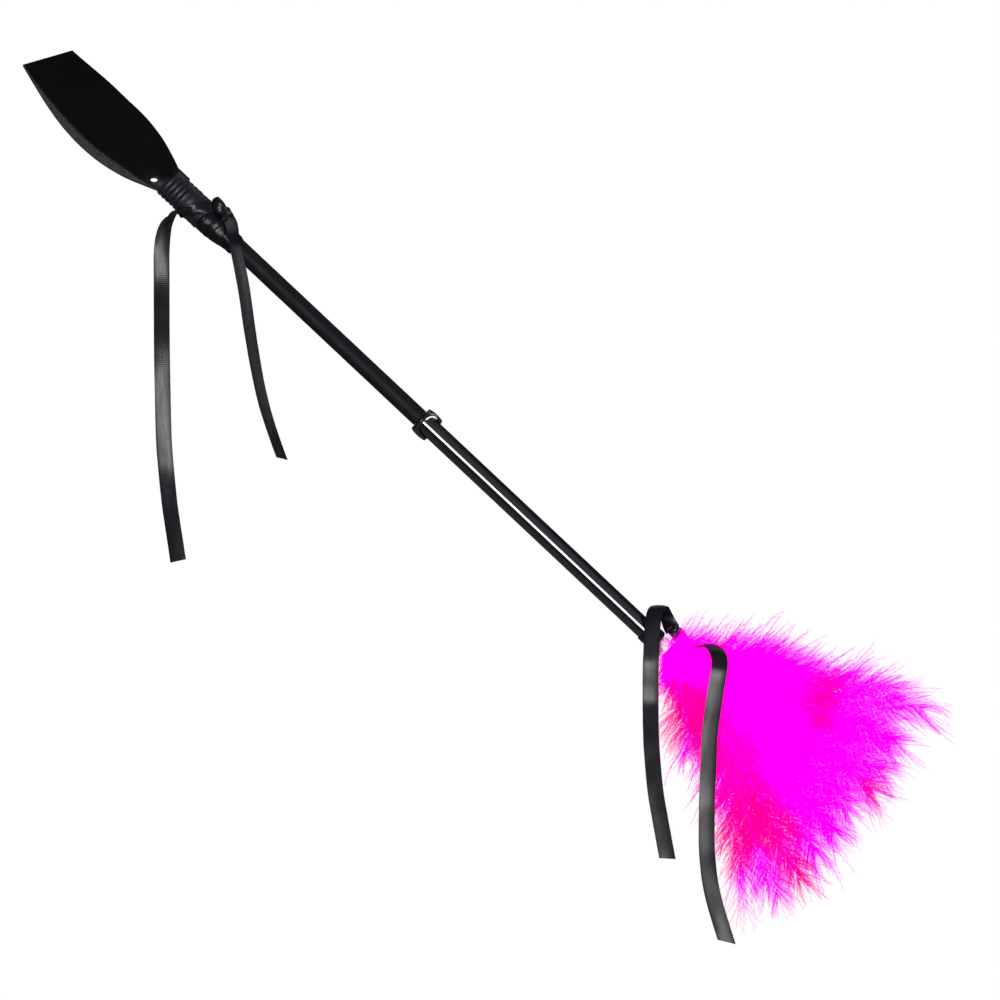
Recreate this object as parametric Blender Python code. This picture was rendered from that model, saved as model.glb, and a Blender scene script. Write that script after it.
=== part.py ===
"""A short hand-held crop.

A sprung shaft slopes down to the right. A folded leather flapper is bound to its upper end and a plume of
feathers to its lower end, and a flat ribbon is tied round each end with two tails hanging from it.
The origin is on the shaft's centreline at the grip, +X to the right, +Z up and -Y towards the viewer.
Pieces on the shaft are modelled along their own Z axis, which runs from the tip (-) to the butt (+),
with X to the upper side of the shaft and Y to its front. Lengths are in metres.
"""

import math

import bmesh
import bpy
from mathutils import Matrix, Vector

MM = 0.001
GAP = 0.35 * MM

# Shaft
SLOPE = math.radians(43.2)
ROD_RADIUS = 2.5 * MM
UPPER_RADIUS = 4.3 * MM
LOWER_RADIUS = 4.65 * MM
BORE_RADIUS = ROD_RADIUS + GAP
JOINT_HEIGHT = 11.0 * MM
BUTT_HEIGHT = 160.2 * MM
ROD_END = 140.0 * MM
COLLAR_RADIUS = 6.8 * MM
COLLAR_LENGTH = 9.0 * MM
SIDES = 28

# Tip binding, from its mouth down the shaft
MOUTH = -157.4 * MM
LACE_TURNS = 5
LACE_PITCH = 2.4 * MM
BINDING_WIDTH = 7.4 * MM
BINDING_DEPTH = 5.8 * MM
BINDING_WALL = 1.1 * MM
TAPE_END = -132.3 * MM
TAPER_END = -112.0 * MM

# Flapper
FLAPPER_TURN = math.radians(23)
FLAPPER_HINGE = 2.0 * MM
FLAPPER_START = 2.8 * MM
FLAPPER_LENGTH = 78.6 * MM
FLAPPER_HALF_WIDTH = 14.6 * MM
FLAPPER_GAP = 8.6 * MM
LEATHER = 1.2 * MM
TIP_SKEW = 0.5

# Ribbon
RIBBON_WIDTH = 7.2 * MM
RIBBON_THICKNESS = 0.6 * MM
RIBBON_STEP = 6.0 * MM

# Plume
QUILL_STUB_END = 165.0 * MM
PLUME_HINGE = 165.6 * MM
FEATHER_START = 1.5 * MM
QUILL_RADIUS = 0.6 * MM
QUILL_SPACING = 1.7 * MM
LAYER_STEP = 1.9 * MM
LAYER_SPREAD = 10.5 * MM
FEATHER_HALF_WIDTH = 8.6 * MM
FEATHER_HALF_DEPTH = 4.3 * MM
FEATHER_FLARE = 0.088
FEATHER_FLARE_START = 17.0 * MM
# Each layer of feathers: its name, its place front to back, and each feather's fall below level with its length.
FEATHER_LAYERS = (
    ("front", 1, ((19, 114), (33, 116), (47, 117), (60, 116))),
    ("middle", 0, ((12, 132), (27, 127), (41, 129), (54, 131), (67, 127))),
    ("back", -1, ((20, 115), (34, 118), (48, 119), (61, 118))),
)
FEATHER_STATIONS = 12
FEATHER_SIDES = 8


def clear_scene():
    for obj in list(bpy.data.objects):
        bpy.data.objects.remove(obj, do_unlink=True)


def material(name, colour, roughness, metallic=0.0):
    """A plain surface with one linear colour."""
    made = bpy.data.materials.new(name)
    made.use_nodes = True
    shader = made.node_tree.nodes["Principled BSDF"]
    shader.inputs["Base Color"].default_value = (*colour, 1.0)
    shader.inputs["Roughness"].default_value = roughness
    shader.inputs["Metallic"].default_value = metallic
    return made


def empty(name, location, parent=None, axes=None):
    """An empty that places the pieces parented to it."""
    holder = bpy.data.objects.new(name, None)
    bpy.context.scene.collection.objects.link(holder)
    holder.empty_display_size = 0.02
    holder.parent = parent
    holder.matrix_local = Matrix.Translation(location) @ (axes or Matrix.Identity(4))
    return holder


def piece(name, shape, surface, parent=None, location=(0, 0, 0)):
    """One named object from a bmesh, shaded smooth over its shallow edges."""
    mesh = bpy.data.meshes.new(name)
    shape.to_mesh(mesh)
    shape.free()
    mesh.materials.append(surface)
    mesh.shade_smooth()
    mesh.set_sharp_from_angle(angle=math.radians(40))
    made = bpy.data.objects.new(name, mesh)
    bpy.context.scene.collection.objects.link(made)
    made.parent = parent
    made.location = location
    return made


def smooth_step(value):
    value = min(max(value, 0.0), 1.0)
    return value * value * (3 - 2 * value)


def turned(name, outline, surface, parent):
    """A closed outline of (radius, height) points, outer side first from the top down, turned by a Screw."""
    shape = bmesh.new()
    corners = [shape.verts.new((radius, 0, height)) for radius, height in outline]
    for first, second in zip(corners, corners[1:] + corners[:1]):
        if first.co.x > 0 or second.co.x > 0:
            shape.edges.new((first, second))
    made = piece(name, shape, surface, parent)
    screw = made.modifiers.new("turn", "SCREW")
    screw.steps = screw.render_steps = SIDES
    screw.use_merge_vertices = True
    screw.merge_threshold = 0.00001
    screw.use_smooth_shade = True
    return made


def loft(rings, closed=False):
    """A skin over rings of equal length, capped at its two ends unless it closes on itself."""
    shape = bmesh.new()
    rows = [[shape.verts.new(point) for point in ring] for ring in rings]
    pairs = list(zip(rows, rows[1:] + rows[:1])) if closed else list(zip(rows, rows[1:]))
    for near, far in pairs:
        for index in range(len(near)):
            after = (index + 1) % len(near)
            shape.faces.new((near[index], near[after], far[after], far[index]))
    if not closed:
        shape.faces.new(rows[0])
        shape.faces.new(rows[-1])
    bmesh.ops.recalc_face_normals(shape, faces=shape.faces)
    return shape


def oval_ring(outline, shift=None):
    """A ring with an oval hole, from an outline of (half width, half depth, height) points.

    shift, where given, is how far the ring leans along the shaft from its lower side to its upper side.
    """
    rings = []
    for index in range(SIDES):
        angle = math.tau * index / SIDES
        across, forward = math.cos(angle), math.sin(angle)
        lean = shift * across if shift else 0.0
        rings.append([(width * across, depth * forward, height + lean) for width, depth, height in outline])
    return loft(rings, closed=True)


def smooth_route(points, step):
    """Evenly spaced stations on a smooth curve through hand-placed points of (x, y, z, turn)."""
    ends = [points[0]] + list(points) + [points[-1]]
    dense = []
    for before, start, end, after in zip(ends, ends[1:], ends[2:], ends[3:]):
        for index in range(16):
            t = index / 16
            dense.append([
                0.5 * (2 * b + (c - a) * t + (2 * a - 5 * b + 4 * c - d) * t * t + (3 * b - a - 3 * c + d) * t ** 3)
                for a, b, c, d in zip(before, start, end, after)
            ])
    dense.append(list(points[-1]))
    spots = [Vector(point[:3]) for point in dense]
    reach = [0.0]
    for first, second in zip(spots, spots[1:]):
        reach.append(reach[-1] + (second - first).length)
    count = max(3, round(reach[-1] / step))
    stations = []
    for index in range(count + 1):
        wanted = reach[-1] * index / count
        slot = max(1, next((i for i, value in enumerate(reach) if value >= wanted - 1e-9), len(reach) - 1))
        part = (wanted - reach[slot - 1]) / (reach[slot] - reach[slot - 1])
        spot = spots[slot - 1].lerp(spots[slot], part)
        turn = dense[slot - 1][3] + (dense[slot][3] - dense[slot - 1][3]) * part
        stations.append((spot, turn))
    return stations


def ribbon(name, route, surface, hinge=(0, 0, 0), parent=None):
    """A flat ribbon along a route in millimetres. A turn of 0 degrees faces it to the front."""
    points = [(x * MM, y * MM, z * MM, turn) for x, y, z, turn in route]
    stations = smooth_route(points, RIBBON_STEP)
    shape = bmesh.new()
    pivot = Vector(hinge)
    rows = []
    for index, (spot, turn) in enumerate(stations):
        ahead = stations[min(index + 1, len(stations) - 1)][0]
        behind = stations[max(index - 1, 0)][0]
        along = (ahead - behind).normalized()
        angle = math.radians(turn)
        across = Vector((math.cos(angle), math.sin(angle), 0))
        across = (across - along * across.dot(along)).normalized()
        half = across * RIBBON_WIDTH / 2
        rows.append([shape.verts.new(spot - pivot + side * half) for side in (-1, 0, 1)])
    for near, far in zip(rows, rows[1:]):
        for index in (0, 1):
            shape.faces.new((near[index], near[index + 1], far[index + 1], far[index]))
    made = piece(name, shape, surface, parent, hinge)
    solidify = made.modifiers.new("thickness", "SOLIDIFY")
    solidify.thickness = RIBBON_THICKNESS
    solidify.offset = 0.0
    return made


def rounded_block(name, size, surface, parent, location, turn=0.0):
    """A soft lump with rounded edges, for a knot pulled tight."""
    shape = bmesh.new()
    bmesh.ops.create_cube(shape, size=1.0, matrix=Matrix.Diagonal((*size, 1.0)))
    made = piece(name, shape, surface, parent, location)
    made.rotation_euler = (0.0, 0.0, turn)
    bevel = made.modifiers.new("rounding", "BEVEL")
    bevel.width = 0.3 * min(size)
    bevel.segments = 2
    return made


def make_shaft(shaft, surfaces):
    """Core rod, the two sleeves, the collar over their joint, and the quills glued into the tube's mouth."""
    rod_start = MOUTH + 1.4 * MM
    turned("core_rod", [(0, ROD_END), (ROD_RADIUS, ROD_END), (ROD_RADIUS, rod_start), (0, rod_start)],
           surfaces["rod"], shaft)
    sleeve_start = TAPE_END - 1.2 * MM
    upper_end = JOINT_HEIGHT - GAP / 2
    turned("upper_sleeve", [(UPPER_RADIUS, upper_end), (UPPER_RADIUS, sleeve_start),
                            (BORE_RADIUS, sleeve_start), (BORE_RADIUS, upper_end)],
           surfaces["sleeve"], shaft)
    lower_start = JOINT_HEIGHT + GAP / 2
    rim = 0.5 * MM
    turned("lower_sleeve", [(LOWER_RADIUS - rim, BUTT_HEIGHT), (LOWER_RADIUS, BUTT_HEIGHT - rim),
                            (LOWER_RADIUS, lower_start), (BORE_RADIUS, lower_start), (BORE_RADIUS, BUTT_HEIGHT)],
           surfaces["tube"], shaft)
    top = JOINT_HEIGHT + COLLAR_LENGTH / 2
    bottom = JOINT_HEIGHT - COLLAR_LENGTH / 2
    hole = LOWER_RADIUS + GAP
    turned("joint_collar", [(COLLAR_RADIUS - 0.3 * MM, top), (COLLAR_RADIUS, top - 0.3 * MM),
                            (COLLAR_RADIUS, bottom + 1.6 * MM), (COLLAR_RADIUS - 1.2 * MM, bottom),
                            (hole, bottom), (hole, top)],
           surfaces["collar"], shaft)
    stub_start = ROD_END + GAP
    turned("quill_bundle", [(0, QUILL_STUB_END), (ROD_RADIUS, QUILL_STUB_END), (ROD_RADIUS, stub_start),
                            (0, stub_start)], surfaces["quill"], shaft)
    thread_start = BUTT_HEIGHT + GAP
    thread = [(BORE_RADIUS, thread_start)]
    turns, pitch = 4, 1.05 * MM
    for index in range(turns * 2 + 1):
        swell = 0.35 * MM if index % 2 else 0.0
        thread.append((4.0 * MM + swell, thread_start + pitch * index / 2))
    thread.append((BORE_RADIUS, thread_start + turns * pitch))
    turned("quill_thread", thread[::-1], surfaces["thread"], shaft)


def make_clamped_ends(shaft, surfaces):
    """The two ends of the flapper leather, curled round the rod's tip under the lace."""
    outer = (BINDING_WIDTH - BINDING_WALL - GAP, BINDING_DEPTH - BINDING_WALL - GAP)
    inner = (outer[0] - LEATHER, outer[1] - LEATHER)
    start, end = MOUTH + 0.4 * MM, TAPE_END - 1.8 * MM
    for name, side in (("flapper_end_front", 1), ("flapper_end_back", -1)):
        angles = [math.radians(20 + 140 * index / 10) for index in range(11)]
        outline = [(outer[0] * math.cos(a), side * outer[1] * math.sin(a)) for a in angles]
        outline += [(inner[0] * math.cos(a), side * inner[1] * math.sin(a)) for a in reversed(angles)]
        rings = [[(x, y, height) for x, y in outline] for height in (start, end)]
        piece(name, loft(rings), surfaces["leather"], shaft)


def make_binding(shaft, surfaces):
    """Lace turns, the creased tape behind them, the ribbon that crosses it, its knot and the tapering wrap."""
    hole_width, hole_depth = BINDING_WIDTH - BINDING_WALL, BINDING_DEPTH - BINDING_WALL
    lace_end = MOUTH + LACE_TURNS * LACE_PITCH
    outline = [(hole_width, hole_depth, MOUTH)]
    for index in range(LACE_TURNS * 2 + 1):
        swell = 0.0 if index % 2 else -0.45 * MM
        outline.append((BINDING_WIDTH + swell, BINDING_DEPTH + swell, MOUTH + LACE_PITCH * index / 2))
    outline.append((hole_width, hole_depth, lace_end))
    piece("binding_lace", oval_ring(outline), surfaces["lace"], shaft)

    tape_start = lace_end + GAP
    middle = (tape_start + TAPE_END) / 2
    piece("binding_tape", oval_ring([
        (hole_width, hole_depth, tape_start),
        (BINDING_WIDTH - 0.3 * MM, BINDING_DEPTH - 0.3 * MM, tape_start),
        (BINDING_WIDTH, BINDING_DEPTH, middle),
        (BINDING_WIDTH - 0.3 * MM, BINDING_DEPTH - 0.3 * MM, TAPE_END),
        (hole_width, hole_depth, TAPE_END),
    ]), surfaces["lace"], shaft)

    hole = UPPER_RADIUS + GAP
    length = TAPER_END - TAPE_END
    outline = [(hole, hole, TAPE_END + GAP)]
    for part, radius, flat in ((0.0, 7.0, 5.5), (0.2, 6.9, 5.7), (0.45, 6.3, 5.5), (0.75, 5.4, 5.1), (1.0, 4.9, 4.9)):
        outline.append((radius * MM, flat * MM, TAPE_END + GAP + part * length))
    outline.append((hole, hole, TAPER_END + GAP))
    piece("taper_wrap", oval_ring(outline), surfaces["wrap"], shaft)

    inside, outside = GAP + 0.1 * MM, GAP + 0.9 * MM
    centre, half, lean = -136.6 * MM, RIBBON_WIDTH * 0.45, 5.0 * MM
    piece("tip_ribbon_cross", oval_ring([
        (BINDING_WIDTH + inside, BINDING_DEPTH + inside, centre - half),
        (BINDING_WIDTH + outside, BINDING_DEPTH + outside, centre - half),
        (BINDING_WIDTH + outside, BINDING_DEPTH + outside, centre + half),
        (BINDING_WIDTH + inside, BINDING_DEPTH + inside, centre + half),
    ], lean), surfaces["ribbon"], shaft)
    rounded_block("tip_ribbon_knot", (5.4 * MM, 3.0 * MM, 6.0 * MM), surfaces["ribbon"], shaft,
                  (4.6 * MM, 8.6 * MM, -130.5 * MM), math.radians(-24))


def flapper_width(part):
    """Half width of a leaf as a share of its widest, from the binding (0) to the fold (1)."""
    rise = math.sin(math.pi / 2 * min(part / 0.48, 1.0)) ** 0.8
    fall = 1.0 - 0.233 * max(0.0, 2 * part - 1) ** 1.9
    return (0.5 + 0.5 * rise) * fall


def make_flapper(hinge, surfaces):
    """One leather strip: out along the front leaf, round the fold at the tip and back along the other leaf."""
    leaf_stations, fold_stations = 13, 5
    fold_radius = 0.95 * MM
    path = []
    for index in range(leaf_stations):
        reach = FLAPPER_START + (FLAPPER_LENGTH - FLAPPER_START) * index / (leaf_stations - 1)
        part = reach / FLAPPER_LENGTH
        open_up = smooth_step(part / 0.4) * (1 - smooth_step((part - 0.62) / 0.38))
        rest = (3.3 * MM) * (1 - part) + fold_radius * part
        path.append((reach, rest + (FLAPPER_GAP / 2 - 1.4 * MM) * open_up))
    fold = []
    for index in range(1, fold_stations):
        angle = math.pi * index / fold_stations
        fold.append((FLAPPER_LENGTH + fold_radius * math.sin(angle), fold_radius * math.cos(angle)))
    path = path + fold + [(reach, -away) for reach, away in reversed(path)]

    shape = bmesh.new()
    rows = []
    for reach, away in path:
        part = min(reach / FLAPPER_LENGTH, 1.0)
        half = FLAPPER_HALF_WIDTH * flapper_width(part)
        drift = (0.65 - 1.2 * smooth_step(2 * part) + 4.25 * max(0.0, 2 * part - 1) ** 1.5) * MM
        curl = 2.6 * MM * (1 - smooth_step(part / 0.22))
        side = 1 if away >= 0 else -1
        row = []
        for index in range(7):
            across = index / 3 - 1
            wide = half * across
            out = reach - TIP_SKEW * wide * part * part
            row.append(shape.verts.new((wide + drift, away - side * curl * across * across, -(out - FLAPPER_HINGE))))
        rows.append(row)
    for near, far in zip(rows, rows[1:]):
        for index in range(6):
            shape.faces.new((near[index], near[index + 1], far[index + 1], far[index]))
    made = piece("flapper_loop", shape, surfaces["leather"], hinge)
    solidify = made.modifiers.new("thickness", "SOLIDIFY")
    solidify.thickness = LEATHER
    solidify.offset = 0.0
    return made


# Routes in millimetres, each point with the ribbon's turn from facing front.
TIP_LONG_TAIL = (
    (-112.4, -1.2, 89.6, 62), (-115.2, -2.0, 84.1, 35), (-116.6, -1.4, 74.5, 12), (-116.7, -0.4, 60.0, 0),
    (-116.6, -1.8, 44.7, 0), (-116.4, -3.2, 27.0, 2), (-116.1, -3.0, 9.4, 4), (-115.6, -1.6, -14.1, 0),
    (-114.6, -0.8, -28.0, -3), (-112.9, -2.4, -44.0, -7), (-111.3, -3.8, -54.5, -8), (-108.6, -6.2, -71.4, -4),
)
TIP_SHORT_TAIL = (
    (-86.6, -11.4, 94.0, 50), (-83.9, -10.6, 85.1, 50), (-81.3, -9.8, 74.7, 46), (-77.6, -9.6, 55.9, 44),
    (-74.3, -9.6, 32.9, 46), (-70.0, -10.0, 9.4, 50), (-65.4, -10.6, -7.5, 52), (-59.7, -11.4, -23.5, 54),
)
BUTT_LOOP = (
    (113.3, -5.8, -112.4, 0), (113.6, -6.8, -104.3, 0), (114.4, -6.6, -97.2, -6), (116.2, -4.2, -93.2, -14),
    (118.8, -0.4, -92.6, -24), (121.0, 2.6, -95.4, -24), (122.6, 3.2, -99.4, -16), (123.4, 2.6, -101.9, -8),
)
BUTT_LEFT_TAIL = (
    (113.2, -6.9, -112.9, 0), (112.9, -8.2, -119.0, 0), (112.8, -7.7, -128.3, 0), (112.8, -6.9, -137.0, 1),
    (112.8, -6.8, -146.0, 2), (112.9, -7.5, -155.0, 3), (113.3, -8.7, -164.5, 4), (114.8, -10.6, -178.0, 4),
    (116.9, -12.4, -191.0, 0), (120.3, -15.0, -209.9, -6),
)
BUTT_LEAD = (
    (125.6, -5.0, -102.6, 20), (130.0, -8.4, -104.2, 28), (135.8, -12.4, -107.6, 30), (141.4, -16.0, -111.6, 22),
    (144.2, -17.6, -114.2, 8),
)
BUTT_RIGHT_TAIL = (
    (144.9, -20.3, -117.0, 4), (143.9, -22.4, -122.6, 0), (142.6, -22.0, -133.0, 0), (140.1, -20.9, -152.3, 2),
    (139.6, -20.2, -164.5, 4), (138.9, -19.5, -180.0, 3), (138.7, -19.7, -190.0, 2), (138.8, -21.6, -208.0, -2),
    (141.2, -24.0, -226.2, -8), (147.6, -27.0, -248.2, -10),
)


def place(point):
    """A route point's place in metres."""
    return tuple(value * MM for value in point[:3])


def make_ribbons(shaft, surfaces):
    """The four tails, each with its origin on its own hinge, and the butt ribbon's band, loop, knot and lead."""
    tails = (
        ("tip_ribbon_long_tail", TIP_LONG_TAIL), ("tip_ribbon_short_tail", TIP_SHORT_TAIL),
        ("butt_ribbon_left_tail", BUTT_LEFT_TAIL), ("butt_ribbon_right_tail", BUTT_RIGHT_TAIL),
    )
    for name, route in tails:
        ribbon(name, route, surfaces["ribbon"], place(route[0]))
    ribbon("butt_ribbon_loop", BUTT_LOOP, surfaces["ribbon"])
    ribbon("butt_ribbon_lead", BUTT_LEAD, surfaces["ribbon"])
    band_top, band_bottom = 159.4 * MM, 152.2 * MM
    hole, outside = LOWER_RADIUS + GAP, LOWER_RADIUS + GAP + RIBBON_THICKNESS
    turned("butt_ribbon_band", [(outside, band_top), (outside, band_bottom), (hole, band_bottom), (hole, band_top)],
           surfaces["ribbon"], shaft)
    rounded_block("butt_ribbon_knot", (3.2 * MM, 5.6 * MM, 4.6 * MM), surfaces["ribbon"], None,
                  (124.6 * MM, -0.9 * MM, -104.9 * MM))


def feather_rings(fall, length, rank, count, layer):
    """Rings of one feather: a thin quill that leaves the bundle along the shaft, then a flat, rounded vane."""
    offset = (rank - (count - 1) / 2) * QUILL_SPACING
    across = Vector((math.sin(SLOPE), 0, math.cos(SLOPE)))
    outward = Vector((math.cos(SLOPE), 0, -math.sin(SLOPE)))
    spot = outward * FEATHER_START - across * offset
    rings = []
    step = length / FEATHER_STATIONS
    for index in range(FEATHER_STATIONS + 1):
        part = index / FEATHER_STATIONS
        turn = smooth_step(part / 0.22)
        heading = SLOPE + (math.radians(fall - 3 + 9 * part * part) - SLOPE) * turn
        along = Vector((math.cos(heading), 0, -math.sin(heading)))
        side = Vector((math.sin(heading), 0, math.cos(heading)))
        swell = max(0.0, math.sin(math.pi * min(1.0, max(0.0, part - 0.06) / 0.94) ** 1.25)) ** 0.8
        room = QUILL_RADIUS + FEATHER_FLARE * max(0.0, part * length - FEATHER_FLARE_START)
        wide = min(room, QUILL_RADIUS + (FEATHER_HALF_WIDTH - QUILL_RADIUS) * swell)
        deep = QUILL_RADIUS + (FEATHER_HALF_DEPTH - QUILL_RADIUS) * swell
        depth = -layer * (LAYER_STEP + LAYER_SPREAD * smooth_step(part / 0.5))
        ring = []
        for corner in range(FEATHER_SIDES):
            angle = math.tau * corner / FEATHER_SIDES
            ring.append(spot + side * wide * math.cos(angle) + Vector((0, depth + deep * math.sin(angle), 0)))
        rings.append(ring)
        spot = spot + along * step
    return rings


def make_plume(hinge, surfaces):
    """Three layers of feathers, spread like a fan from the quill bundle."""
    for layer_name, layer, feathers in FEATHER_LAYERS:
        for rank, (fall, length) in enumerate(feathers):
            rings = feather_rings(fall, length * MM, rank, len(feathers), layer)
            piece(f"feather_{layer_name}_{rank + 1}", loft(rings), surfaces["feather"], hinge)


def main():
    clear_scene()
    surfaces = {
        "rod": material("fibreglass_rod", (0.32, 0.31, 0.27), 0.45),
        "sleeve": material("matte_sleeve", (0.012, 0.012, 0.013), 0.62),
        "tube": material("gloss_tube", (0.008, 0.008, 0.009), 0.14),
        "collar": material("collar_plastic", (0.007, 0.007, 0.008), 0.22),
        "leather": material("black_leather", (0.010, 0.009, 0.010), 0.42),
        "lace": material("waxed_lace", (0.030, 0.030, 0.036), 0.46),
        "wrap": material("gloss_wrap", (0.010, 0.009, 0.012), 0.24),
        "ribbon": material("satin_ribbon", (0.028, 0.029, 0.034), 0.38),
        "thread": material("pale_thread", (0.55, 0.36, 0.46), 0.55),
        "quill": material("dyed_quill", (0.62, 0.10, 0.36), 0.45),
        "feather": material("dyed_feather", (1.0, 0.0, 0.65), 0.85),
    }
    axes = Matrix((
        (math.sin(SLOPE), 0, math.cos(SLOPE), 0),
        (0, -1, 0, 0),
        (math.cos(SLOPE), 0, -math.sin(SLOPE), 0),
        (0, 0, 0, 1),
    ))
    shaft = empty("shaft_axis", (0, 0, 0), axes=axes)
    make_shaft(shaft, surfaces)
    make_clamped_ends(shaft, surfaces)
    make_binding(shaft, surfaces)
    flapper_hinge = empty("flapper_hinge", (0, 0, MOUTH - FLAPPER_HINGE), shaft,
                          Matrix.Rotation(-FLAPPER_TURN, 4, "Z"))
    make_flapper(flapper_hinge, surfaces)
    make_ribbons(shaft, surfaces)
    plume_hinge = empty("plume_hinge", (math.cos(SLOPE) * PLUME_HINGE, 0, -math.sin(SLOPE) * PLUME_HINGE))
    make_plume(plume_hinge, surfaces)
    bpy.context.view_layer.update()


main()
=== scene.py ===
"""The looks of a short crop: leather flapper, wound binding, sprung shaft, satin ribbons and a marabou plume.

Lengths are in metres and places are in the model's own frame: +X to the right, +Z up and -Y to the viewer, with
the origin on the shaft's centreline at the grip. "Along" is the distance down the shaft from the origin, negative
towards the flapper and positive towards the plume.
"""

import math
from functools import partial

import bmesh
import bpy
from mathutils import Matrix, Vector, noise


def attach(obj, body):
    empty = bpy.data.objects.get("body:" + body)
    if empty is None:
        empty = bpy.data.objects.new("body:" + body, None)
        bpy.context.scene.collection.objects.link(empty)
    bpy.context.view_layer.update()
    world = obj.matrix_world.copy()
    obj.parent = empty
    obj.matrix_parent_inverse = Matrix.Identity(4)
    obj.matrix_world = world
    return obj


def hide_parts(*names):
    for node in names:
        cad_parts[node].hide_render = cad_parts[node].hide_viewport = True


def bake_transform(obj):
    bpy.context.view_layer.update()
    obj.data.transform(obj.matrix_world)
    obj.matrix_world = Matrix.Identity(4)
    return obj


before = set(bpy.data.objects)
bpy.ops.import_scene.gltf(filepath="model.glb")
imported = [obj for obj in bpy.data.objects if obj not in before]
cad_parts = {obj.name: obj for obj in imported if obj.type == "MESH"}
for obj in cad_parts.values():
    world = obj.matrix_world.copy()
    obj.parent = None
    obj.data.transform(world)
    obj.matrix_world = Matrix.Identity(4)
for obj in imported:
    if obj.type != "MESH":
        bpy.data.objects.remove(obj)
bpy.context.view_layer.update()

bl_info = {
    "name": "Feather Crop Looks",
    "version": (1, 0, 0),
    "blender": (4, 5, 0),
    "location": "3D View > Sidebar > Crop",
    "description": "Builds the visible pieces of a short crop with a leather flapper and a feather plume",
    "category": "Object",
}

MM = 0.001
SLOPE = math.radians(43.2)
UPPER = Vector((math.sin(SLOPE), 0, math.cos(SLOPE)))
FRONT = Vector((0, -1, 0))
ALONG = Vector((math.cos(SLOPE), 0, -math.sin(SLOPE)))
SHAFT = Matrix((UPPER, FRONT, ALONG)).transposed().to_4x4()
MOUTH = -157.4 * MM  # where the binding ends and the flapper comes out, along the shaft


# ---- Colours and node helpers ----

def linear(hex_colour):
    """The linear colour of an sRGB hex value."""
    parts = [int(hex_colour[start:start + 2], 16) / 255 for start in (0, 2, 4)]
    return tuple(p / 12.92 if p <= 0.04045 else ((p + 0.055) / 1.055) ** 2.4 for p in parts)


def add(tree, kind, inputs=(), **settings):
    """Adds one node of a kind such as TexNoise or Math:ADD, with its links.

    Its inputs are values in order, or by socket, and a node stands for its own first output.
    """
    kind, _, operation = kind.partition(":")
    families = [family for family in ("Geometry", "Shader", "Function") if hasattr(bpy.types, f"{family}Node{kind}")]
    node = tree.nodes.new(f"{families[0]}Node{kind}")
    if operation:
        node.operation = operation
    for name, value in settings.items():
        setattr(node, name, value)
    for socket, value in inputs.items() if isinstance(inputs, dict) else enumerate(inputs):
        if isinstance(value, bpy.types.Node):
            value = value.outputs[0]
        if isinstance(value, bpy.types.NodeSocket):
            tree.links.new(value, node.inputs[socket])
        else:
            node.inputs[socket].default_value = value
    return node


def pattern(tree, size, detail=2.0, roughness=0.5, stretch=None):
    """Noise with lumps of this many millimetres. Where it's stretched, it follows the shaft's own axes."""
    place = add(tree, "TexCoord").outputs["Object"]
    if stretch:
        place = add(tree, "Mapping", {"Vector": place, "Rotation": SHAFT.inverted().to_euler()})
        place = add(tree, "Mapping", {"Vector": place, "Scale": (1, 1, stretch)})
    return add(tree, "TexNoise", {"Vector": place, "Scale": 1 / (size * MM), "Detail": detail,
                                  "Roughness": roughness})


def surface(name, colours, tone, contrast=None, rough=None, relief=None, **values):
    """A material with one Principled shader, whose plain socket values are given by name.

    Its colour runs between two hex colours by the tone, a pattern whose range the contrast narrows. Rough is a
    pattern with its own range and the roughness at each end, and relief is a pattern with a bump's strength and
    its height in millimetres. An empty pattern is the tone again.
    """
    made = bpy.data.materials.new(name)
    made.use_nodes = True
    tree = made.node_tree
    shader = tree.nodes["Principled BSDF"]
    for socket, value in values.items():
        shader.inputs[socket.replace("_", " ").title().replace("Ior", "IOR")].default_value = value
    own = pattern(tree, *tone) if isinstance(tone, tuple) else tone(tree)
    factor = add(tree, "MapRange", (own, *contrast, 0.0, 1.0)) if contrast else own
    low, high = ((*linear(colour), 1) for colour in colours)
    mix = add(tree, "Mix", {0: factor, 6: low, 7: high}, data_type="RGBA")
    tree.links.new(mix.outputs[2], shader.inputs["Base Color"])
    if rough:
        source = pattern(tree, *rough[0]) if rough[0] else own
        tree.links.new(add(tree, "MapRange", (source, *rough[1:])).outputs[0], shader.inputs["Roughness"])
    if relief:
        height, strength, distance = relief
        height = height(tree) if callable(height) else pattern(tree, *height) if height else own
        bump = add(tree, "Bump", {"Height": height, "Strength": strength, "Distance": distance * MM})
        tree.links.new(bump.outputs[0], shader.inputs["Normal"])
    return made


# ---- Materials ----

def nappa_leather():
    # Drum-dyed nappa, smoothed and finished: near black with a low, even shine and a very fine grain.
    def pores(tree):
        """Real grain is 0.3 mm; it's drawn at 0.9 mm, as fine as shows."""
        place = add(tree, "TexCoord").outputs["Object"]
        cells = add(tree, "TexVoronoi", {"Vector": place, "Scale": 1 / (0.9 * MM)},
                    feature="DISTANCE_TO_EDGE")
        return add(tree, "MapRange", (cells, 0.0, 0.3, 0.0, 1.0))

    return surface("Nappa_leather_black", ("040404", "090606"), (14,), rough=((6,), 0.3, 0.7, 0.34, 0.46),
                   relief=(pores, 0.10, 0.08), specular_ior_level=0.07, ior=1.45)


def leather_flesh_side():
    # The unfinished back of the hide: dark grey, matt and fibrous, with paler rubbed flecks.
    return surface("Leather_flesh_side", ("121114", "3B393F"), (1.1, 4.0, 0.7), (0.36, 0.66),
                   relief=((), 0.6, 0.25), roughness=0.92, specular_ior_level=0.15, sheen_weight=0.25,
                   sheen_roughness=0.6)


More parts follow.
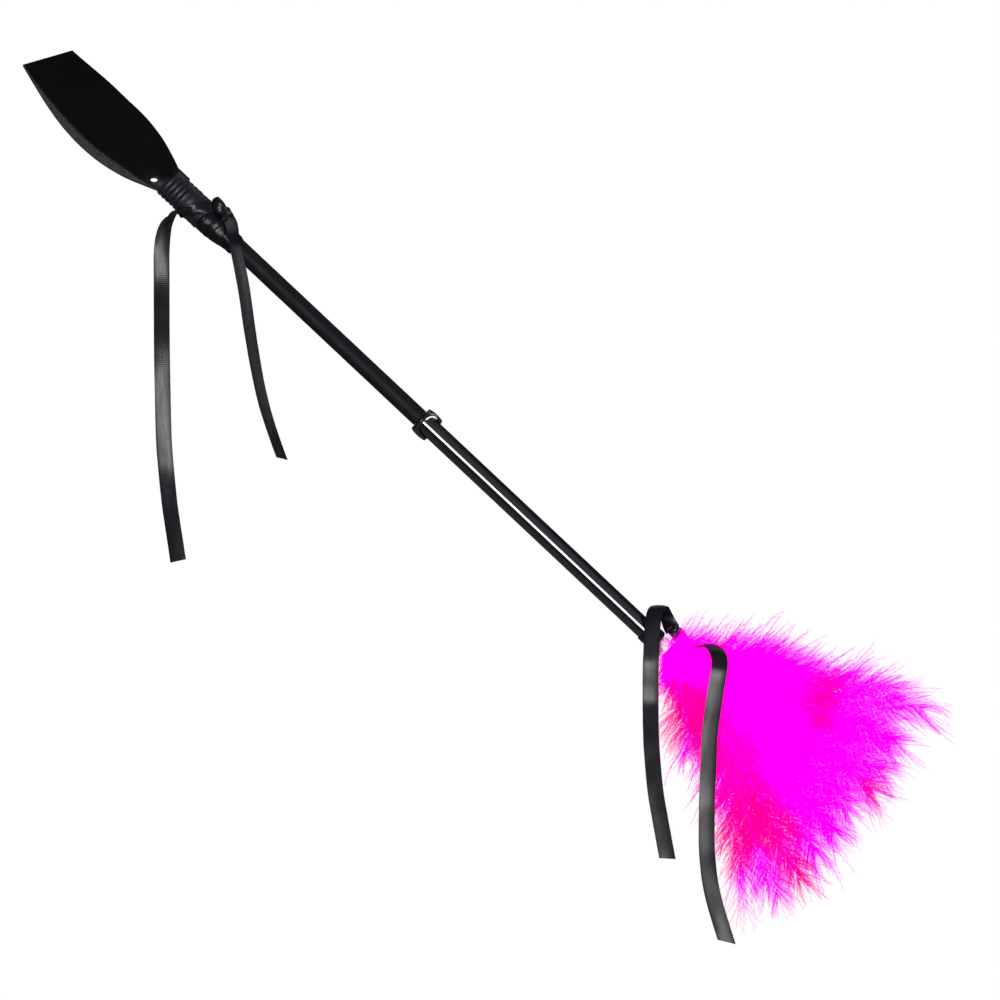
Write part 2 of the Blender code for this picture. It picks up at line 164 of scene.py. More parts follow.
def cut_leather_edge():
    # A cut edge, inked black by hand: matt and slightly ragged, with grey fibre where the ink is thin.
    return surface("Inked_leather_edge", ("151315", "4A474A"), (0.8, 3.0, 0.6), (0.45, 0.75),
                   relief=((), 0.4, 0.12), roughness=0.8, specular_ior_level=0.2)


def soft_pvc_sleeve():
    # Soft PVC pulled over the rod and matted: black with a faint speckle that breaks up its shine.
    return surface("Soft_PVC_matt_black", ("09090C", "141418"), (0.9, 3.0, 0.65), (0.35, 0.65),
                   ((9,), 0.3, 0.7, 0.50, 0.62), ((), 0.22, 0.08), specular_ior_level=0.085, ior=1.52)


def lacquered_tube():
    # A drawn tube under black lacquer: deep black, mirror-like, with a sharp line of light along it. Drawing marks
    # run along it, 1.2 mm apart, and only roughen it a little.
    return surface("Black_lacquer_on_tube", ("060607", "0B090A"), (11,),
                   rough=((1.2, 2.0, 0.5, 0.02), 0.3, 0.7, 0.07, 0.13), ior=1.6, specular_ior_level=0.5,
                   coat_weight=0.25, coat_roughness=0.06)


def moulded_abs():
    # Injection-moulded ABS, gloss black: smooth, with slight sink marks that bend its reflections.
    return surface("ABS_moulded_black", ("0B0A0B", "141213"), (3.5,), None, ((), 0.3, 0.7, 0.14, 0.22),
                   ((), 0.15, 0.2), ior=1.54, specular_ior_level=0.5)


def painted_highlight_white():
    # Milky white with a soft shine: a painted highlight, laid as a thin lip where light catches the collar's rim.
    return surface("Nylon_natural_white", ("E6E3DE", "FAF8F4"), (1.5,), ior=1.53, roughness=0.3)


def fibreglass():
    # Pultruded glass fibre, greenish grey, with fibres that run along the rod.
    return surface("Pultruded_fibreglass", ("7F7D70", "A8A594"), (0.5, 2.0, 0.5, 0.03), roughness=0.45, ior=1.52)


def waxed_cloth(name, low, high, rough, ridge):
    # Woven tape drawn through wax: dark grey-black, creased, with a broken satin shine on its ridges. The thread
    # count is 0.3 mm; 0.8 mm shows.
    return surface(name, (low, high), (2.2, 3.0, 0.6), (0.35, 0.68), ((), 0.35, 0.65, rough, rough - 0.14),
                   ((0.8, 2.0, 0.6, 2.2), ridge, 0.12), specular_ior_level=0.28, ior=1.46, sheen_weight=0.04,
                   sheen_roughness=0.4)


def patent_tape():
    # Patent tape, a glossy film on cloth: black, wrinkled where it's pulled tight, with wet-looking lights.
    return surface("Patent_film_tape", ("050407", "0B0910"), (2.6, 3.0, 0.6), None, ((), 0.3, 0.7, 0.26, 0.44),
                   ((1.3,), 0.35, 0.15), ior=1.5, specular_ior_level=0.13, coat_weight=0.03, coat_roughness=0.18)


def satin_ribbon():
    # Woven polyester satin: long floats along the ribbon give a cool grey sheen where it faces the light. Its map
    # runs 1 for each millimetre. Filaments are 0.1 mm apart; they're drawn 0.6 mm apart to show.
    def bands(tree):
        place = add(tree, "UVMap", uv_map="weave")
        return add(tree, "TexNoise", {"Vector": place, "Scale": 0.09, "Detail": 1.0})

    def weave(tree):
        """The filaments, which also roughen the satin, with the rows that cross them."""
        place = add(tree, "UVMap", uv_map="weave")
        floats = add(tree, "Mapping", {"Vector": place, "Scale": (1.0, 0.06, 1)})
        filaments = add(tree, "TexNoise", {"Vector": floats, "Scale": 1.7, "Detail": 2.0})
        rough = add(tree, "MapRange", (filaments, 0.3, 0.7, 0.28, 0.37))
        tree.links.new(rough.outputs[0], tree.nodes["Principled BSDF"].inputs["Roughness"])
        rows = add(tree, "TexWave", {"Vector": place, "Scale": 0.32, "Distortion": 1.2, "Detail": 1.0},
                   bands_direction="Y")
        return add(tree, "Math:ADD", (filaments, rows.outputs[1]))

    made = surface("Polyester_satin_black", ("08070A", "151016"), bands, (0.3, 0.7), relief=(weave, 0.10, 0.1),
                   specular_ior_level=0.23, ior=1.5, anisotropic=0.85)
    # The floats run along the ribbon, so its highlight stretches across it.
    tree = made.node_tree
    floats_way = add(tree, "Tangent", direction_type="UV_MAP", uv_map="weave")
    tree.links.new(floats_way.outputs[0], tree.nodes["Principled BSDF"].inputs["Tangent"])
    return made


def cotton_thread():
    # Mercerised cotton, picked up some of the plume's dye: pale pink strands with a soft shine.
    return surface("Cotton_thread_pale", ("F4E2EC", "D77FB4"), (1.6,), (0.35, 0.65), relief=((0.5,), 0.4, 0.1),
                   roughness=0.5, specular_ior_level=0.45, sheen_weight=0.3, sheen_roughness=0.4)


def dyed_quill():
    # A feather's keratin quill, dyed: horn-like, half glossy, paler towards its root.
    return surface("Keratin_quill_dyed", ("F27CC6", "D8208F"), (1.2, 2.0, 0.5, 0.1), roughness=0.34, ior=1.54)


def marabou(name, dye):
    # Turkey down in an acid dye: matt, saturated, soft at every edge. Its glow is painted light, an emission in the
    # dye's own colour that lifts the shade out of the plume's crevices. One barb is thinner than any pattern on it
    # could be, so the dye's unevenness is carried from barb to barb: the plume's tree gives each barb one of several
    # such tones, and deepens them to rose near the plume's root as painted shade.
    made = bpy.data.materials.new(name)
    made.use_nodes = True
    sockets = made.node_tree.nodes["Principled BSDF"].inputs
    sockets["Base Color"].default_value = sockets["Emission Color"].default_value = (*linear(dye), 1)
    # The emission is painted light: a glow that flattens the plume's shading.
    sockets["Emission Strength"].default_value = 0.55
    sockets["Roughness"].default_value = 0.9
    sockets["Specular IOR Level"].default_value = 0.0
    return made


def pale_floor():
    # Matt emulsion paint on a board: light grey with a faint roller texture.
    return surface("Matt_emulsion_light_grey", ("AEADAB", "B6B5B3"), (12,), relief=((3,), 0.08, 0.2),
                   roughness=0.85, specular_ior_level=0.2)


# ---- Shape helpers ----

def smooth_step(value):
    value = min(max(value, 0.0), 1.0)
    return value * value * (3 - 2 * value)


def on_shaft(side, front, along):
    """A point from its distances to the shaft's upper side, to its front and along it."""
    return UPPER * side + FRONT * front + ALONG * along


def new_object(name, mesh):
    made = bpy.data.objects.new(name, mesh)
    bpy.context.scene.collection.objects.link(made)
    return made


def skin(rings, ring_closed=True, run_closed=False, capped=True, us=None, vs=None):
    """A bmesh skin over rings of equal length. us and vs, where given, are its map, in millimetres."""
    shape = bmesh.new()
    layer = shape.loops.layers.uv.new("weave") if us else None
    rows = [[shape.verts.new(point) for point in ring] for ring in rings]
    count = len(rows[0])
    last = len(rows) if run_closed else len(rows) - 1
    for row in range(last):
        near, far = rows[row], rows[(row + 1) % len(rows)]
        for index in range(count if ring_closed else count - 1):
            after = (index + 1) % count
            face = shape.faces.new((near[index], near[after], far[after], far[index]))
            if layer:
                for loop, spot in zip(face.loops, ((index, row), (after, row), (after, row + 1), (index, row + 1))):
                    loop[layer].uv = (us[spot[0]], vs[spot[1]])
    if capped and ring_closed and not run_closed:
        for row in (rows[0], rows[-1]):
            face = shape.faces.new(row)
            if layer:
                for loop in face.loops:
                    loop[layer].uv = (us[row.index(loop.vert)], vs[0] if row is rows[0] else vs[-1])
    bmesh.ops.recalc_face_normals(shape, faces=shape.faces)
    return shape


def settle(name, shape, materials, sharp=40.0, bevel=0.0, levels=0):
    """A finished piece at the origin from a bmesh in the model's frame, with any bevel and smoothing applied."""
    mesh = bpy.data.meshes.new(name)
    shape.to_mesh(mesh)
    shape.free()
    for material in materials:
        mesh.materials.append(material)
    mesh.shade_smooth()
    mesh.set_sharp_from_angle(angle=math.radians(sharp))
    made = new_object(name, mesh)
    if bevel:
        edge = made.modifiers.new("edges", "BEVEL")
        edge.width, edge.segments, edge.limit_method, edge.angle_limit = bevel, 3, "ANGLE", math.radians(sharp)
        edge.harden_normals = True
    if levels:
        fine = made.modifiers.new("smooth", "SUBSURF")
        fine.levels = fine.render_levels = levels
    return applied(made) if bevel or levels else made


def applied(made):
    """The object with its modifiers made part of its mesh."""
    bpy.context.view_layer.update()
    graph = bpy.context.evaluated_depsgraph_get()
    mesh = bpy.data.meshes.new_from_object(made.evaluated_get(graph), preserve_all_data_layers=True, depsgraph=graph)
    old = made.data
    made.modifiers.clear()
    made.data = mesh
    mesh.name = made.name
    if old.users == 0:
        bpy.data.meshes.remove(old)
    return made


def turned(name, outline, materials, sides=72, bevel=0.0, ripple=None):
    """A closed outline of (radius, along) points, or one by angle, turned round the shaft. Ripple adds to radii."""
    rings = []
    for index in range(sides):
        angle = math.tau * index / sides
        ring = []
        for radius, along in outline(angle) if callable(outline) else outline:
            radius += ripple(angle, radius, along) if ripple else 0.0
            ring.append(on_shaft(radius * math.cos(angle), radius * math.sin(angle), along))
        rings.append(ring)
    return settle(name, skin(rings, run_closed=True), materials, bevel=bevel)


def wrapped(name, stations, materials, sides=96, inner=0.8 * MM, relief=None):
    """An oval skin round the shaft from (half width, half depth, along) stations, with its own thin inner wall.

    Relief gives how far each point stands off.
    """
    def ring(width, depth, along, stand):
        angles = [math.tau * index / sides for index in range(sides)]
        return [on_shaft((width + stand(angle, along)) * math.cos(angle),
                         (depth + stand(angle, along)) * math.sin(angle), along) for angle in angles]

    rings = [ring(*station, relief) for station in stations]
    rings += [ring(*station, lambda angle, along: -inner) for station in reversed(stations)]
    return settle(name, skin(rings, run_closed=True), materials)


def folded_lump(name, centre, axes, halves, seed):
    """A pulled knot of ribbon: an egg along the last of three axes, creased by the ribbon's folds."""
    shells, stations, sides = [], 30, 36
    for index in range(stations + 1):
        part = index / stations
        sweep = math.pi * part
        girth = max(math.sin(sweep), 0.02) ** 0.62
        ring = []
        for corner in range(sides):
            angle = math.tau * corner / sides
            fold = abs(math.sin(1.5 * angle + 2.2 * part + seed)) ** 0.7
            crease = 0.26 * fold - 0.16 + 0.12 * noise.noise(
                Vector((math.cos(angle) * 1.4, math.sin(angle) * 1.4, part * 3 + seed)))
            ring.append(centre + axes[0] * (halves[0] * math.cos(angle) * girth * (1 + crease))
                        + axes[1] * (halves[1] * math.sin(angle) * girth * (1 + crease))
                        - axes[2] * (halves[2] * math.cos(sweep)))
        shells.append(ring)
    us = [corner * 0.5 for corner in range(sides)]
    return settle(name, skin(shells, us=us, vs=[i * 0.35 for i in range(stations + 1)]),
                  [bpy.data.materials["Polyester_satin_black"]])


def smooth_route(points, step):
    """Evenly spaced (place, turn) stations on a smooth curve through given (x, y, z, turn) points."""
    ends = [points[0]] + list(points) + [points[-1]]
    dense = []
    for before, start, end, after in zip(ends, ends[1:], ends[2:], ends[3:]):
        for index in range(16):
            t = index / 16
            dense.append([
                0.5 * (2 * b + (c - a) * t + (2 * a - 5 * b + 4 * c - d) * t * t + (3 * b - a - 3 * c + d) * t ** 3)
                for a, b, c, d in zip(before, start, end, after)
            ])
    dense.append(list(points[-1]))
    spots = [Vector(point[:3]) * MM for point in dense]
    reach = [0.0]
    for first, second in zip(spots, spots[1:]):
        reach.append(reach[-1] + (second - first).length)
    count = max(3, round(reach[-1] / step))
    stations = []
    for index in range(count + 1):
        wanted = reach[-1] * index / count
        slot = max(1, next((i for i, value in enumerate(reach) if value >= wanted - 1e-12), len(reach) - 1))
        part = (wanted - reach[slot - 1]) / max(reach[slot] - reach[slot - 1], 1e-12)
        turn = dense[slot - 1][3] + (dense[slot][3] - dense[slot - 1][3]) * part
        stations.append((spots[slot - 1].lerp(spots[slot], part), turn))
    return stations, reach[-1]


# ---- Settings ----

def size(name, description, millimetres):
    return bpy.props.FloatProperty(name=name, description=description, default=millimetres * MM, min=0.0,
                                   precision=5, unit="LENGTH")


class CropShaftSettings(bpy.types.PropertyGroup):
    """Sizes of the shaft's sleeves and collar."""

    upper_radius: size("Upper sleeve radius", "Radius of the matt sleeve above the collar", 4.3)
    lower_radius: size("Lower tube radius", "Radius of the glossy tube below the collar", 4.65)
    collar_radius: size("Collar radius", "Radius of the collar over the joint", 6.8)
    end_round: size("End rounding", "Rounding of the tubes' cut ends", 0.25)


class CropBindingSettings(bpy.types.PropertyGroup):
    """Sizes of the wound binding at the tip."""

    lace_turns: bpy.props.IntProperty(name="Lace turns", description="Turns of fine lace at the binding's mouth",
                                      default=5, min=1)
    lace_pitch: size("Lace pitch", "Distance from one turn of lace to the next", 2.4)
    half_width: size("Half width", "Half the binding's width across the shaft", 7.4)
    half_depth: size("Half depth", "Half the binding's depth, front to back", 5.8)
    crease: size("Crease depth", "How far the tape's creases stand off", 0.34)


class CropFlapperSettings(bpy.types.PropertyGroup):
    """Sizes of the leather flapper."""

    length: size("Length", "From the binding's mouth to the fold", 78.6)
    half_width: size("Half width", "Half the widest part of a leaf", 14.6)
    gap: size("Gap", "Widest distance between the two leaves", 8.6)
    leather: size("Leather", "Thickness of the leather", 1.2)


class CropRibbonSettings(bpy.types.PropertyGroup):
    """Sizes of the satin ribbon."""

    width: size("Width", "Width of the ribbon", 7.5)
    thickness: size("Thickness", "Thickness of the ribbon", 0.36)
    crown: size("Crown", "How far the ribbon's middle stands out from its edges", 0.3)
    step: size("Step", "Distance between rows of the ribbon's mesh", 1.6)


class CropPlumeSettings(bpy.types.PropertyGroup):
    """Sizes, numbers and dye of the marabou plume."""

    barbs: bpy.props.IntProperty(name="Barbs", description="Barbs on each feather", default=1020, min=10)
    barb_length: size("Barb length", "Length of a barb in the middle of a feather", 21.0)
    barb_radius: size("Barb radius", "Radius of a barb at its root", 0.15)
    barbule_length: size("Barbule length", "Length of the fluff on each barb", 2.7)
    depth: size("Half depth", "Half the plume's depth, front to back", 18.0)


class CropStageSettings(bpy.types.PropertyGroup):
    """Camera, lights and floor."""

    distance: size("Camera distance", "From the camera to the shaft's plane", 2611)
    frame_width: size("Frame width", "Width in view in the shaft's plane", 470)
    floor_drop: size("Floor drop", "Height of the floor below the grip", 1100)


def settings(name):
    return getattr(bpy.context.scene, name)


class Step:
    """What every step's operator shares."""

    bl_options = {"REGISTER", "UNDO"}

    def execute(self, context):
        self.make()
        return {"FINISHED"}


# ---- Stage ----

class CROP_OT_camera(Step, bpy.types.Operator):
    """Place the camera square to the shaft's plane"""

    bl_idname = "crop.camera"
    bl_label = "Camera"

    def make(self):
        stage = settings("crop_stage")
        data = bpy.data.cameras.new("Camera")
        data.sensor_width = 36.0
        data.lens = 36.0 * stage.distance / stage.frame_width
        data.clip_start, data.clip_end = 0.05, 20.0
        camera = new_object("Camera", data)
        camera.location = (0.0423, -stage.distance, -0.0428)
        camera.rotation_euler = (math.radians(90), 0, 0)
        bpy.context.scene.camera = camera


def softbox(name, location, target, width, height, radiance, colour="FFFFFF", up=(0, 0, 1)):
    """An area light of a given radiance, unseen by the camera, which faces its target."""
    data = bpy.data.lights.new(name, "AREA")
    data.shape, data.size, data.size_y = "RECTANGLE", width, height
    data.energy = radiance * math.pi * width * height
    data.color = linear(colour)
    made = new_object(name, data)
    made.visible_camera = False
    away = (Vector(location) - Vector(target)).normalized()
    across = Vector(up).cross(away).normalized()
    rows = Matrix((across, away.cross(across), away)).transposed().to_4x4()
    made.matrix_world = Matrix.Translation(location) @ rows
    return made


class CROP_OT_stage(Step, bpy.types.Operator):
    """Lay the floor and hang the lights"""

    bl_idname = "crop.stage"
    bl_label = "Floor and Lights"

    def make(self):
        drop = settings("crop_stage").floor_drop
        shape = bmesh.new()
        bmesh.ops.create_grid(shape, x_segments=4, y_segments=4, size=3.0)
        bmesh.ops.translate(shape, vec=(0, 0, -drop), verts=shape.verts)
        settle("Floor", shape, [pale_floor()])

        # The key hangs by the camera's axis, a little to the shaft's lower side: the glossy tube shows it as one
        # thin line.
        middle = Vector((0.04, 0, -0.04))
        softbox("Key", middle + FRONT * 1.47 - UPPER * 0.16, middle, 0.46, 0.50, 33.0, "FFFDFB", up=UPPER)
        softbox("Top", (0.6, 0.5, 1.5), middle, 1.2, 0.8, 1.6, "D8E0F4")
        softbox("Side", (1.5, 0.3, 0.1), (-0.05, 0, 0.0), 0.6, 0.9, 5.0, "F4F2FF")
        softbox("Back", (-0.7, 1.2, 0.7), middle, 1.2, 1.0, 1.5, "FFFFFF")

        world = bpy.data.worlds.new("Studio")
        bpy.context.scene.world = world
        world.use_nodes = True
        tree = world.node_tree
        tree.nodes.clear()
        # The room is brightest above the camera, and cool there, and warm and dim below and behind.
        bright = FRONT * 0.90 + UPPER * 0.44
        facing = add(tree, "VectorMath:DOT_PRODUCT", (add(tree, "TexCoord"), bright)).outputs[1]
        level = add(tree, "MapRange", (facing, 0.35, 1.0, 0.0, 1.0))
        dim, light = ((*linear(colour), 1) for colour in ("5A4540", "DCE4FF"))
        room = add(tree, "Mix", {0: level, 6: dim, 7: light}, data_type="RGBA").outputs[2]
        room = add(tree, "Background", (room, 0.62))
        # A plain white backdrop is all that the camera itself sees of the world.
        paper = add(tree, "Background", ((1, 1, 1, 1), 1.0))
        add(tree, "OutputWorld", (add(tree, "MixShader", (add(tree, "LightPath"), room, paper)),))
        bpy.context.scene.view_settings.view_transform = "Standard"


# ---- Ribbons ----

# Routes in millimetres: x, y, z and the ribbon's turn in degrees from facing front.
TIP_LONG_TAIL = (
    (-108.2, -4.6, 93.4, 74), (-110.6, -2.6, 92.2, 70),
    (-112.4, -1.2, 89.6, 62), (-115.2, -2.0, 84.1, 35), (-116.6, -1.4, 74.5, 12), (-116.7, -0.4, 60.0, 0),
    (-116.6, -1.8, 44.7, 0), (-116.4, -3.2, 27.0, 2), (-116.1, -3.0, 9.4, 4), (-115.6, -1.6, -14.1, 0),
    (-114.6, -0.8, -28.0, -3), (-112.9, -2.4, -44.0, -7), (-111.3, -3.8, -54.5, -8), (-108.6, -6.2, -71.4, -4),
)
TIP_SHORT_TAIL = (
    (-88.6, -1.6, 92.6, 30), (-86.6, 0.6, 91.4, 34),
    (-84.8, 0.6, 89.2, 40), (-83.9, -2.6, 86.6, 46), (-83.1, -6.6, 83.4, 50), (-82.2, -9.0, 79.2, 48),
    (-81.3, -9.8, 74.7, 46), (-77.6, -9.6, 55.9, 44),
    (-74.3, -9.6, 32.9, 46), (-70.0, -10.0, 9.4, 50), (-65.4, -10.6, -7.5, 52), (-59.7, -11.4, -23.5, 54),
)
BUTT_LEFT_RIBBON = (
    (123.6, 1.6, -104.0, -20), (121.8, 2.8, -100.6, -28),
    (120.8, 3.2, -97.8, -34), (119.6, 2.4, -95.0, -34), (117.8, -0.4, -92.7, -26),
    (115.9, -4.0, -93.5, -14), (114.4, -6.5, -97.4, -6), (113.6, -8.1, -104.3, 0),
    (113.2, -9.5, -112.9, 0), (112.9, -10.2, -119.0, 0), (112.8, -10.0, -125.0, 0), (112.8, -9.6, -131.0, 0),
    (112.8, -9.6, -137.0, 1), (112.8, -10.6, -143.0, 2), (112.9, -12.1, -151.0, 3), (113.3, -13.9, -160.5, 4),
    (114.8, -17.2, -178.0, 4), (116.9, -19.6, -191.0, 0), (120.3, -23.0, -209.9, -6),
)
BUTT_RIGHT_RIBBON = (
    (125.0, 1.2, -105.4, 20), (128.6, 1.6, -108.6, 24), (132.4, -0.6, -111.2, 30), (136.0, -5.8, -111.8, 36),
    (139.6, -12.6, -110.6, 34), (142.8, -18.4, -112.6, 16), (144.6, -21.4, -117.0, 4), (144.3, -22.8, -122.6, 0),
    (142.6, -22.4, -133.0, 0), (140.1, -21.1, -152.3, 2), (139.6, -20.4, -164.5, 4), (138.9, -19.9, -180.0, 3),
    (138.7, -20.6, -190.0, 2), (138.8, -23.0, -208.0, -2), (141.2, -26.0, -226.2, -8), (147.6, -29.8, -248.2, -10),
)


def ribbon_skin(route, seed, slant, start_slant=0.0):
    """A ribbon's bmesh, its centreline and its length. Slant is how far the cut end leans, as a share."""
    values = settings("crop_ribbon")
    stations, length = smooth_route(route, values.step)
    columns = 12
    rings, path, vs = [], [], []
    for index, (spot, turn) in enumerate(stations):
        ahead, behind = stations[min(index + 1, len(stations) - 1)][0], stations[max(index - 1, 0)][0]
        along = (ahead - behind).normalized()
        angle = math.radians(turn)
        across = Vector((math.cos(angle), math.sin(angle), 0))
        across = (across - along * across.dot(along)).normalized()
        facing = along.cross(across).normalized()
        facing = facing if facing.y < 0 else -facing
        done = length * index / (len(stations) - 1)
        lean = slant * smooth_step(1 - (length - done) / (7 * MM)) + start_slant * smooth_step(1 - done / (7 * MM))
        front, back = [], []
        for column in range(columns + 1):
            share = column / columns * 2 - 1
            wave = 0.18 * MM * noise.noise(Vector((share * 0.9, done / (15 * MM), seed)))
            edge = 1 + 0.012 * noise.noise(Vector((math.copysign(2.0, share), done / (4 * MM), seed + 7)))
            offset = share * values.width / 2 * edge
            rise = values.crown * (1 - share * share) + wave
            thick = values.thickness / 2 * (1 - 0.55 * share ** 8)
            middle = spot + across * offset + along * lean * offset
            front.append(middle + facing * (rise + thick))
            back.append(middle + facing * (rise - thick))
        rings.append(front + back[::-1])
        path.append(spot)
        vs.append(done / MM)
    across_mm = [(column / columns * 2 - 1) * values.width / 2 / MM for column in range(columns + 1)]
    return skin(rings, us=across_mm + across_mm[::-1], vs=vs), path, length


def ribbon(name, route, nodes, seed, slant, start_slant=0.0):
    """One ribbon along its route, in place in the model's frame, standing for its nodes."""
    shape, path, length = ribbon_skin(route, seed, slant, start_slant)
    made = settle(name, shape, [bpy.data.materials["Polyester_satin_black"]], sharp=60)
    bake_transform(made)
    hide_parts(*nodes)
    settings("crop_ribbon").width
    return made


class CROP_OT_ribbons(Step, bpy.types.Operator):
    """Hang the four satin tails, with the butt ribbon's loop and fold"""

    bl_idname = "crop.ribbons"
    bl_label = "Ribbons"

    def make(self):
        satin_ribbon()
        ribbon("tip_long_ribbon", TIP_LONG_TAIL, ["tip_ribbon_long_tail"],
               3, -0.05)
        ribbon("tip_short_ribbon", TIP_SHORT_TAIL, ["tip_ribbon_short_tail"],
               11, 0.35)
        ribbon("butt_left_ribbon", BUTT_LEFT_RIBBON, ["butt_ribbon_left_tail", "butt_ribbon_loop"],
               19, 0.25)
        ribbon("butt_right_ribbon", BUTT_RIGHT_RIBBON,
               ["butt_ribbon_right_tail", "butt_ribbon_lead"], 27, 0.6)


# ---- Shaft ----

def finish_piece(made, body, nodes):
    """Lets a piece ride on its body and stand for its nodes."""
    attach(made, body)
    if nodes:
        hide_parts(*nodes)
    return made


def dress(name, material):
    """Gives a node that is kept as it is its own surface."""
    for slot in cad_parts[name].material_slots:
        slot.material = material


class CROP_OT_shaft(Step, bpy.types.Operator):
    """Turn the two sleeves, the collar and the white lip that paints its highlight"""

    bl_idname = "crop.shaft"
    bl_label = "Shaft"

    def make(self):
        values = settings("crop_shaft")
        bore, end = 2.85 * MM, values.end_round
        upper, lower = values.upper_radius, values.lower_radius
        # The sleeves meet under the collar, where its scallop hides the joint.
        joint, butt, top = 7.6 * MM, 160.2 * MM, -133.5 * MM

        def sleeve(radius, start, stop):
            """A tube's outline with rounded ends, its long sides cut short enough to carry slight waves."""
            outline = [(bore, start), (radius - end, start), (radius, start + end)]
            steps = round((stop - start) / (6 * MM))
            outline += [(radius, start + end + (stop - start - 2 * end) * i / steps) for i in range(1, steps)]
            return outline + [(radius, stop - end), (radius - end, stop), (bore, stop)]

        def waves(angle, radius, along):
            """Soft sleeve stretched over the rod isn't quite even."""
            if radius < 4 * MM:
                return 0.0
            return 0.045 * MM * noise.noise(Vector((math.cos(angle), math.sin(angle), along / (9 * MM))))

        finish_piece(turned("upper_sleeve_skin", sleeve(upper, top, joint - 0.2 * MM), [soft_pvc_sleeve()],
                            ripple=waves), "crop", ["upper_sleeve"])
        finish_piece(turned("lower_tube_skin", sleeve(lower, joint + 0.2 * MM, butt), [lacquered_tube()], sides=96),
                     "crop", ["lower_sleeve"])

        # The collar's lower edge is scalloped in front, and a thin white lip lines the scallop: a painted highlight,
        # thickest on the collar's upper front, where light catches its rim.
        wide, back_end, front_end = values.collar_radius, 15.3 * MM, 8.9 * MM

        def edge(angle):
            arch = (1 - min(abs(math.cos(angle)), 1.0) ** 3.5) ** (1 / 3.5) if math.sin(angle) > 0 else 0.0
            return back_end + (front_end - back_end) * arch

        def collar(angle):
            stop = edge(angle)
            profile = [(lower + 0.3 * MM, 6.7 * MM), (5.6 * MM, 6.6 * MM), (6.1 * MM, 6.8 * MM)]
            for index in range(9):
                part = index / 8
                swell = 1 - (2 * part - 1) ** 2
                profile.append((wide - 0.45 * MM * (1 - swell), 7.2 * MM + (stop - 7.7 * MM) * part))
            return profile + [(6.0 * MM, stop - 0.15 * MM), (5.5 * MM, stop), (lower + 0.3 * MM, stop)]

        def lip(angle):
            stop = edge(angle)
            # The lip stands out only on the upper front, where the painted highlight falls.
            highlight_share = smooth_step(math.sin(angle) * 2.5) * smooth_step(math.cos(angle) * 2.2 + 0.1)
            thick, rest = 0.10 * MM + 0.42 * MM * highlight_share, stop + (0.6 * highlight_share - 0.5) * MM
            return [(5.35 * MM + thick * math.cos(math.tau * i / 10), rest + thick * math.sin(math.tau * i / 10))
                    for i in range(10)]

        finish_piece(turned("joint_collar_skin", collar, [moulded_abs()], sides=96), "crop", ["joint_collar"])
        finish_piece(turned("collar_lip", lip, [painted_highlight_white()], sides=96), "crop", [])
        dress("core_rod", fibreglass())


# ---- Geometry Nodes: a cord wound round the shaft ----

def node_tree(name, **sockets):
    """A geometry tree with a geometry input and output, and its other inputs' names by their kinds."""
    tree = bpy.data.node_groups.new(name, "GeometryNodeTree")
    for kind, labels in {"Geometry": ("Geometry",), **sockets}.items():
        for label in labels:
            tree.interface.new_socket(name=label, in_out="INPUT", socket_type=f"NodeSocket{kind}")
    tree.interface.new_socket(name="Geometry", in_out="OUTPUT", socket_type="NodeSocketGeometry")
    return partial(add, tree), tree, tree.nodes.new("NodeGroupInput").outputs


def finished_tree(tree, geometry, *clad):
    """Ends a tree: smooth faces, real instances, then each (selection, material), where a selection may be None."""
    geometry = add(tree, "RealizeInstances", (add(tree, "SetShadeSmooth", (geometry,)),))
    for selection, material in clad:
        chosen = {} if selection is None else {"Selection": selection}
        geometry = add(tree, "SetMaterial", {0: geometry, "Material": material, **chosen})
    tree.links.new(geometry.outputs[0], tree.nodes.new("NodeGroupOutput").inputs[0])
    return tree


def grown(name, mesh, tree, values):
    """A plain mesh object grown by a tree from a starting mesh, with the tree's inputs set by name."""
    made = new_object(name, mesh)
    modifier = made.modifiers.new("grow", "NODES")
    modifier.node_group = tree
    for item in tree.interface.items_tree:
        if item.in_out == "INPUT" and item.name in values:
            modifier[item.identifier] = values[item.name]
    return applied(made)


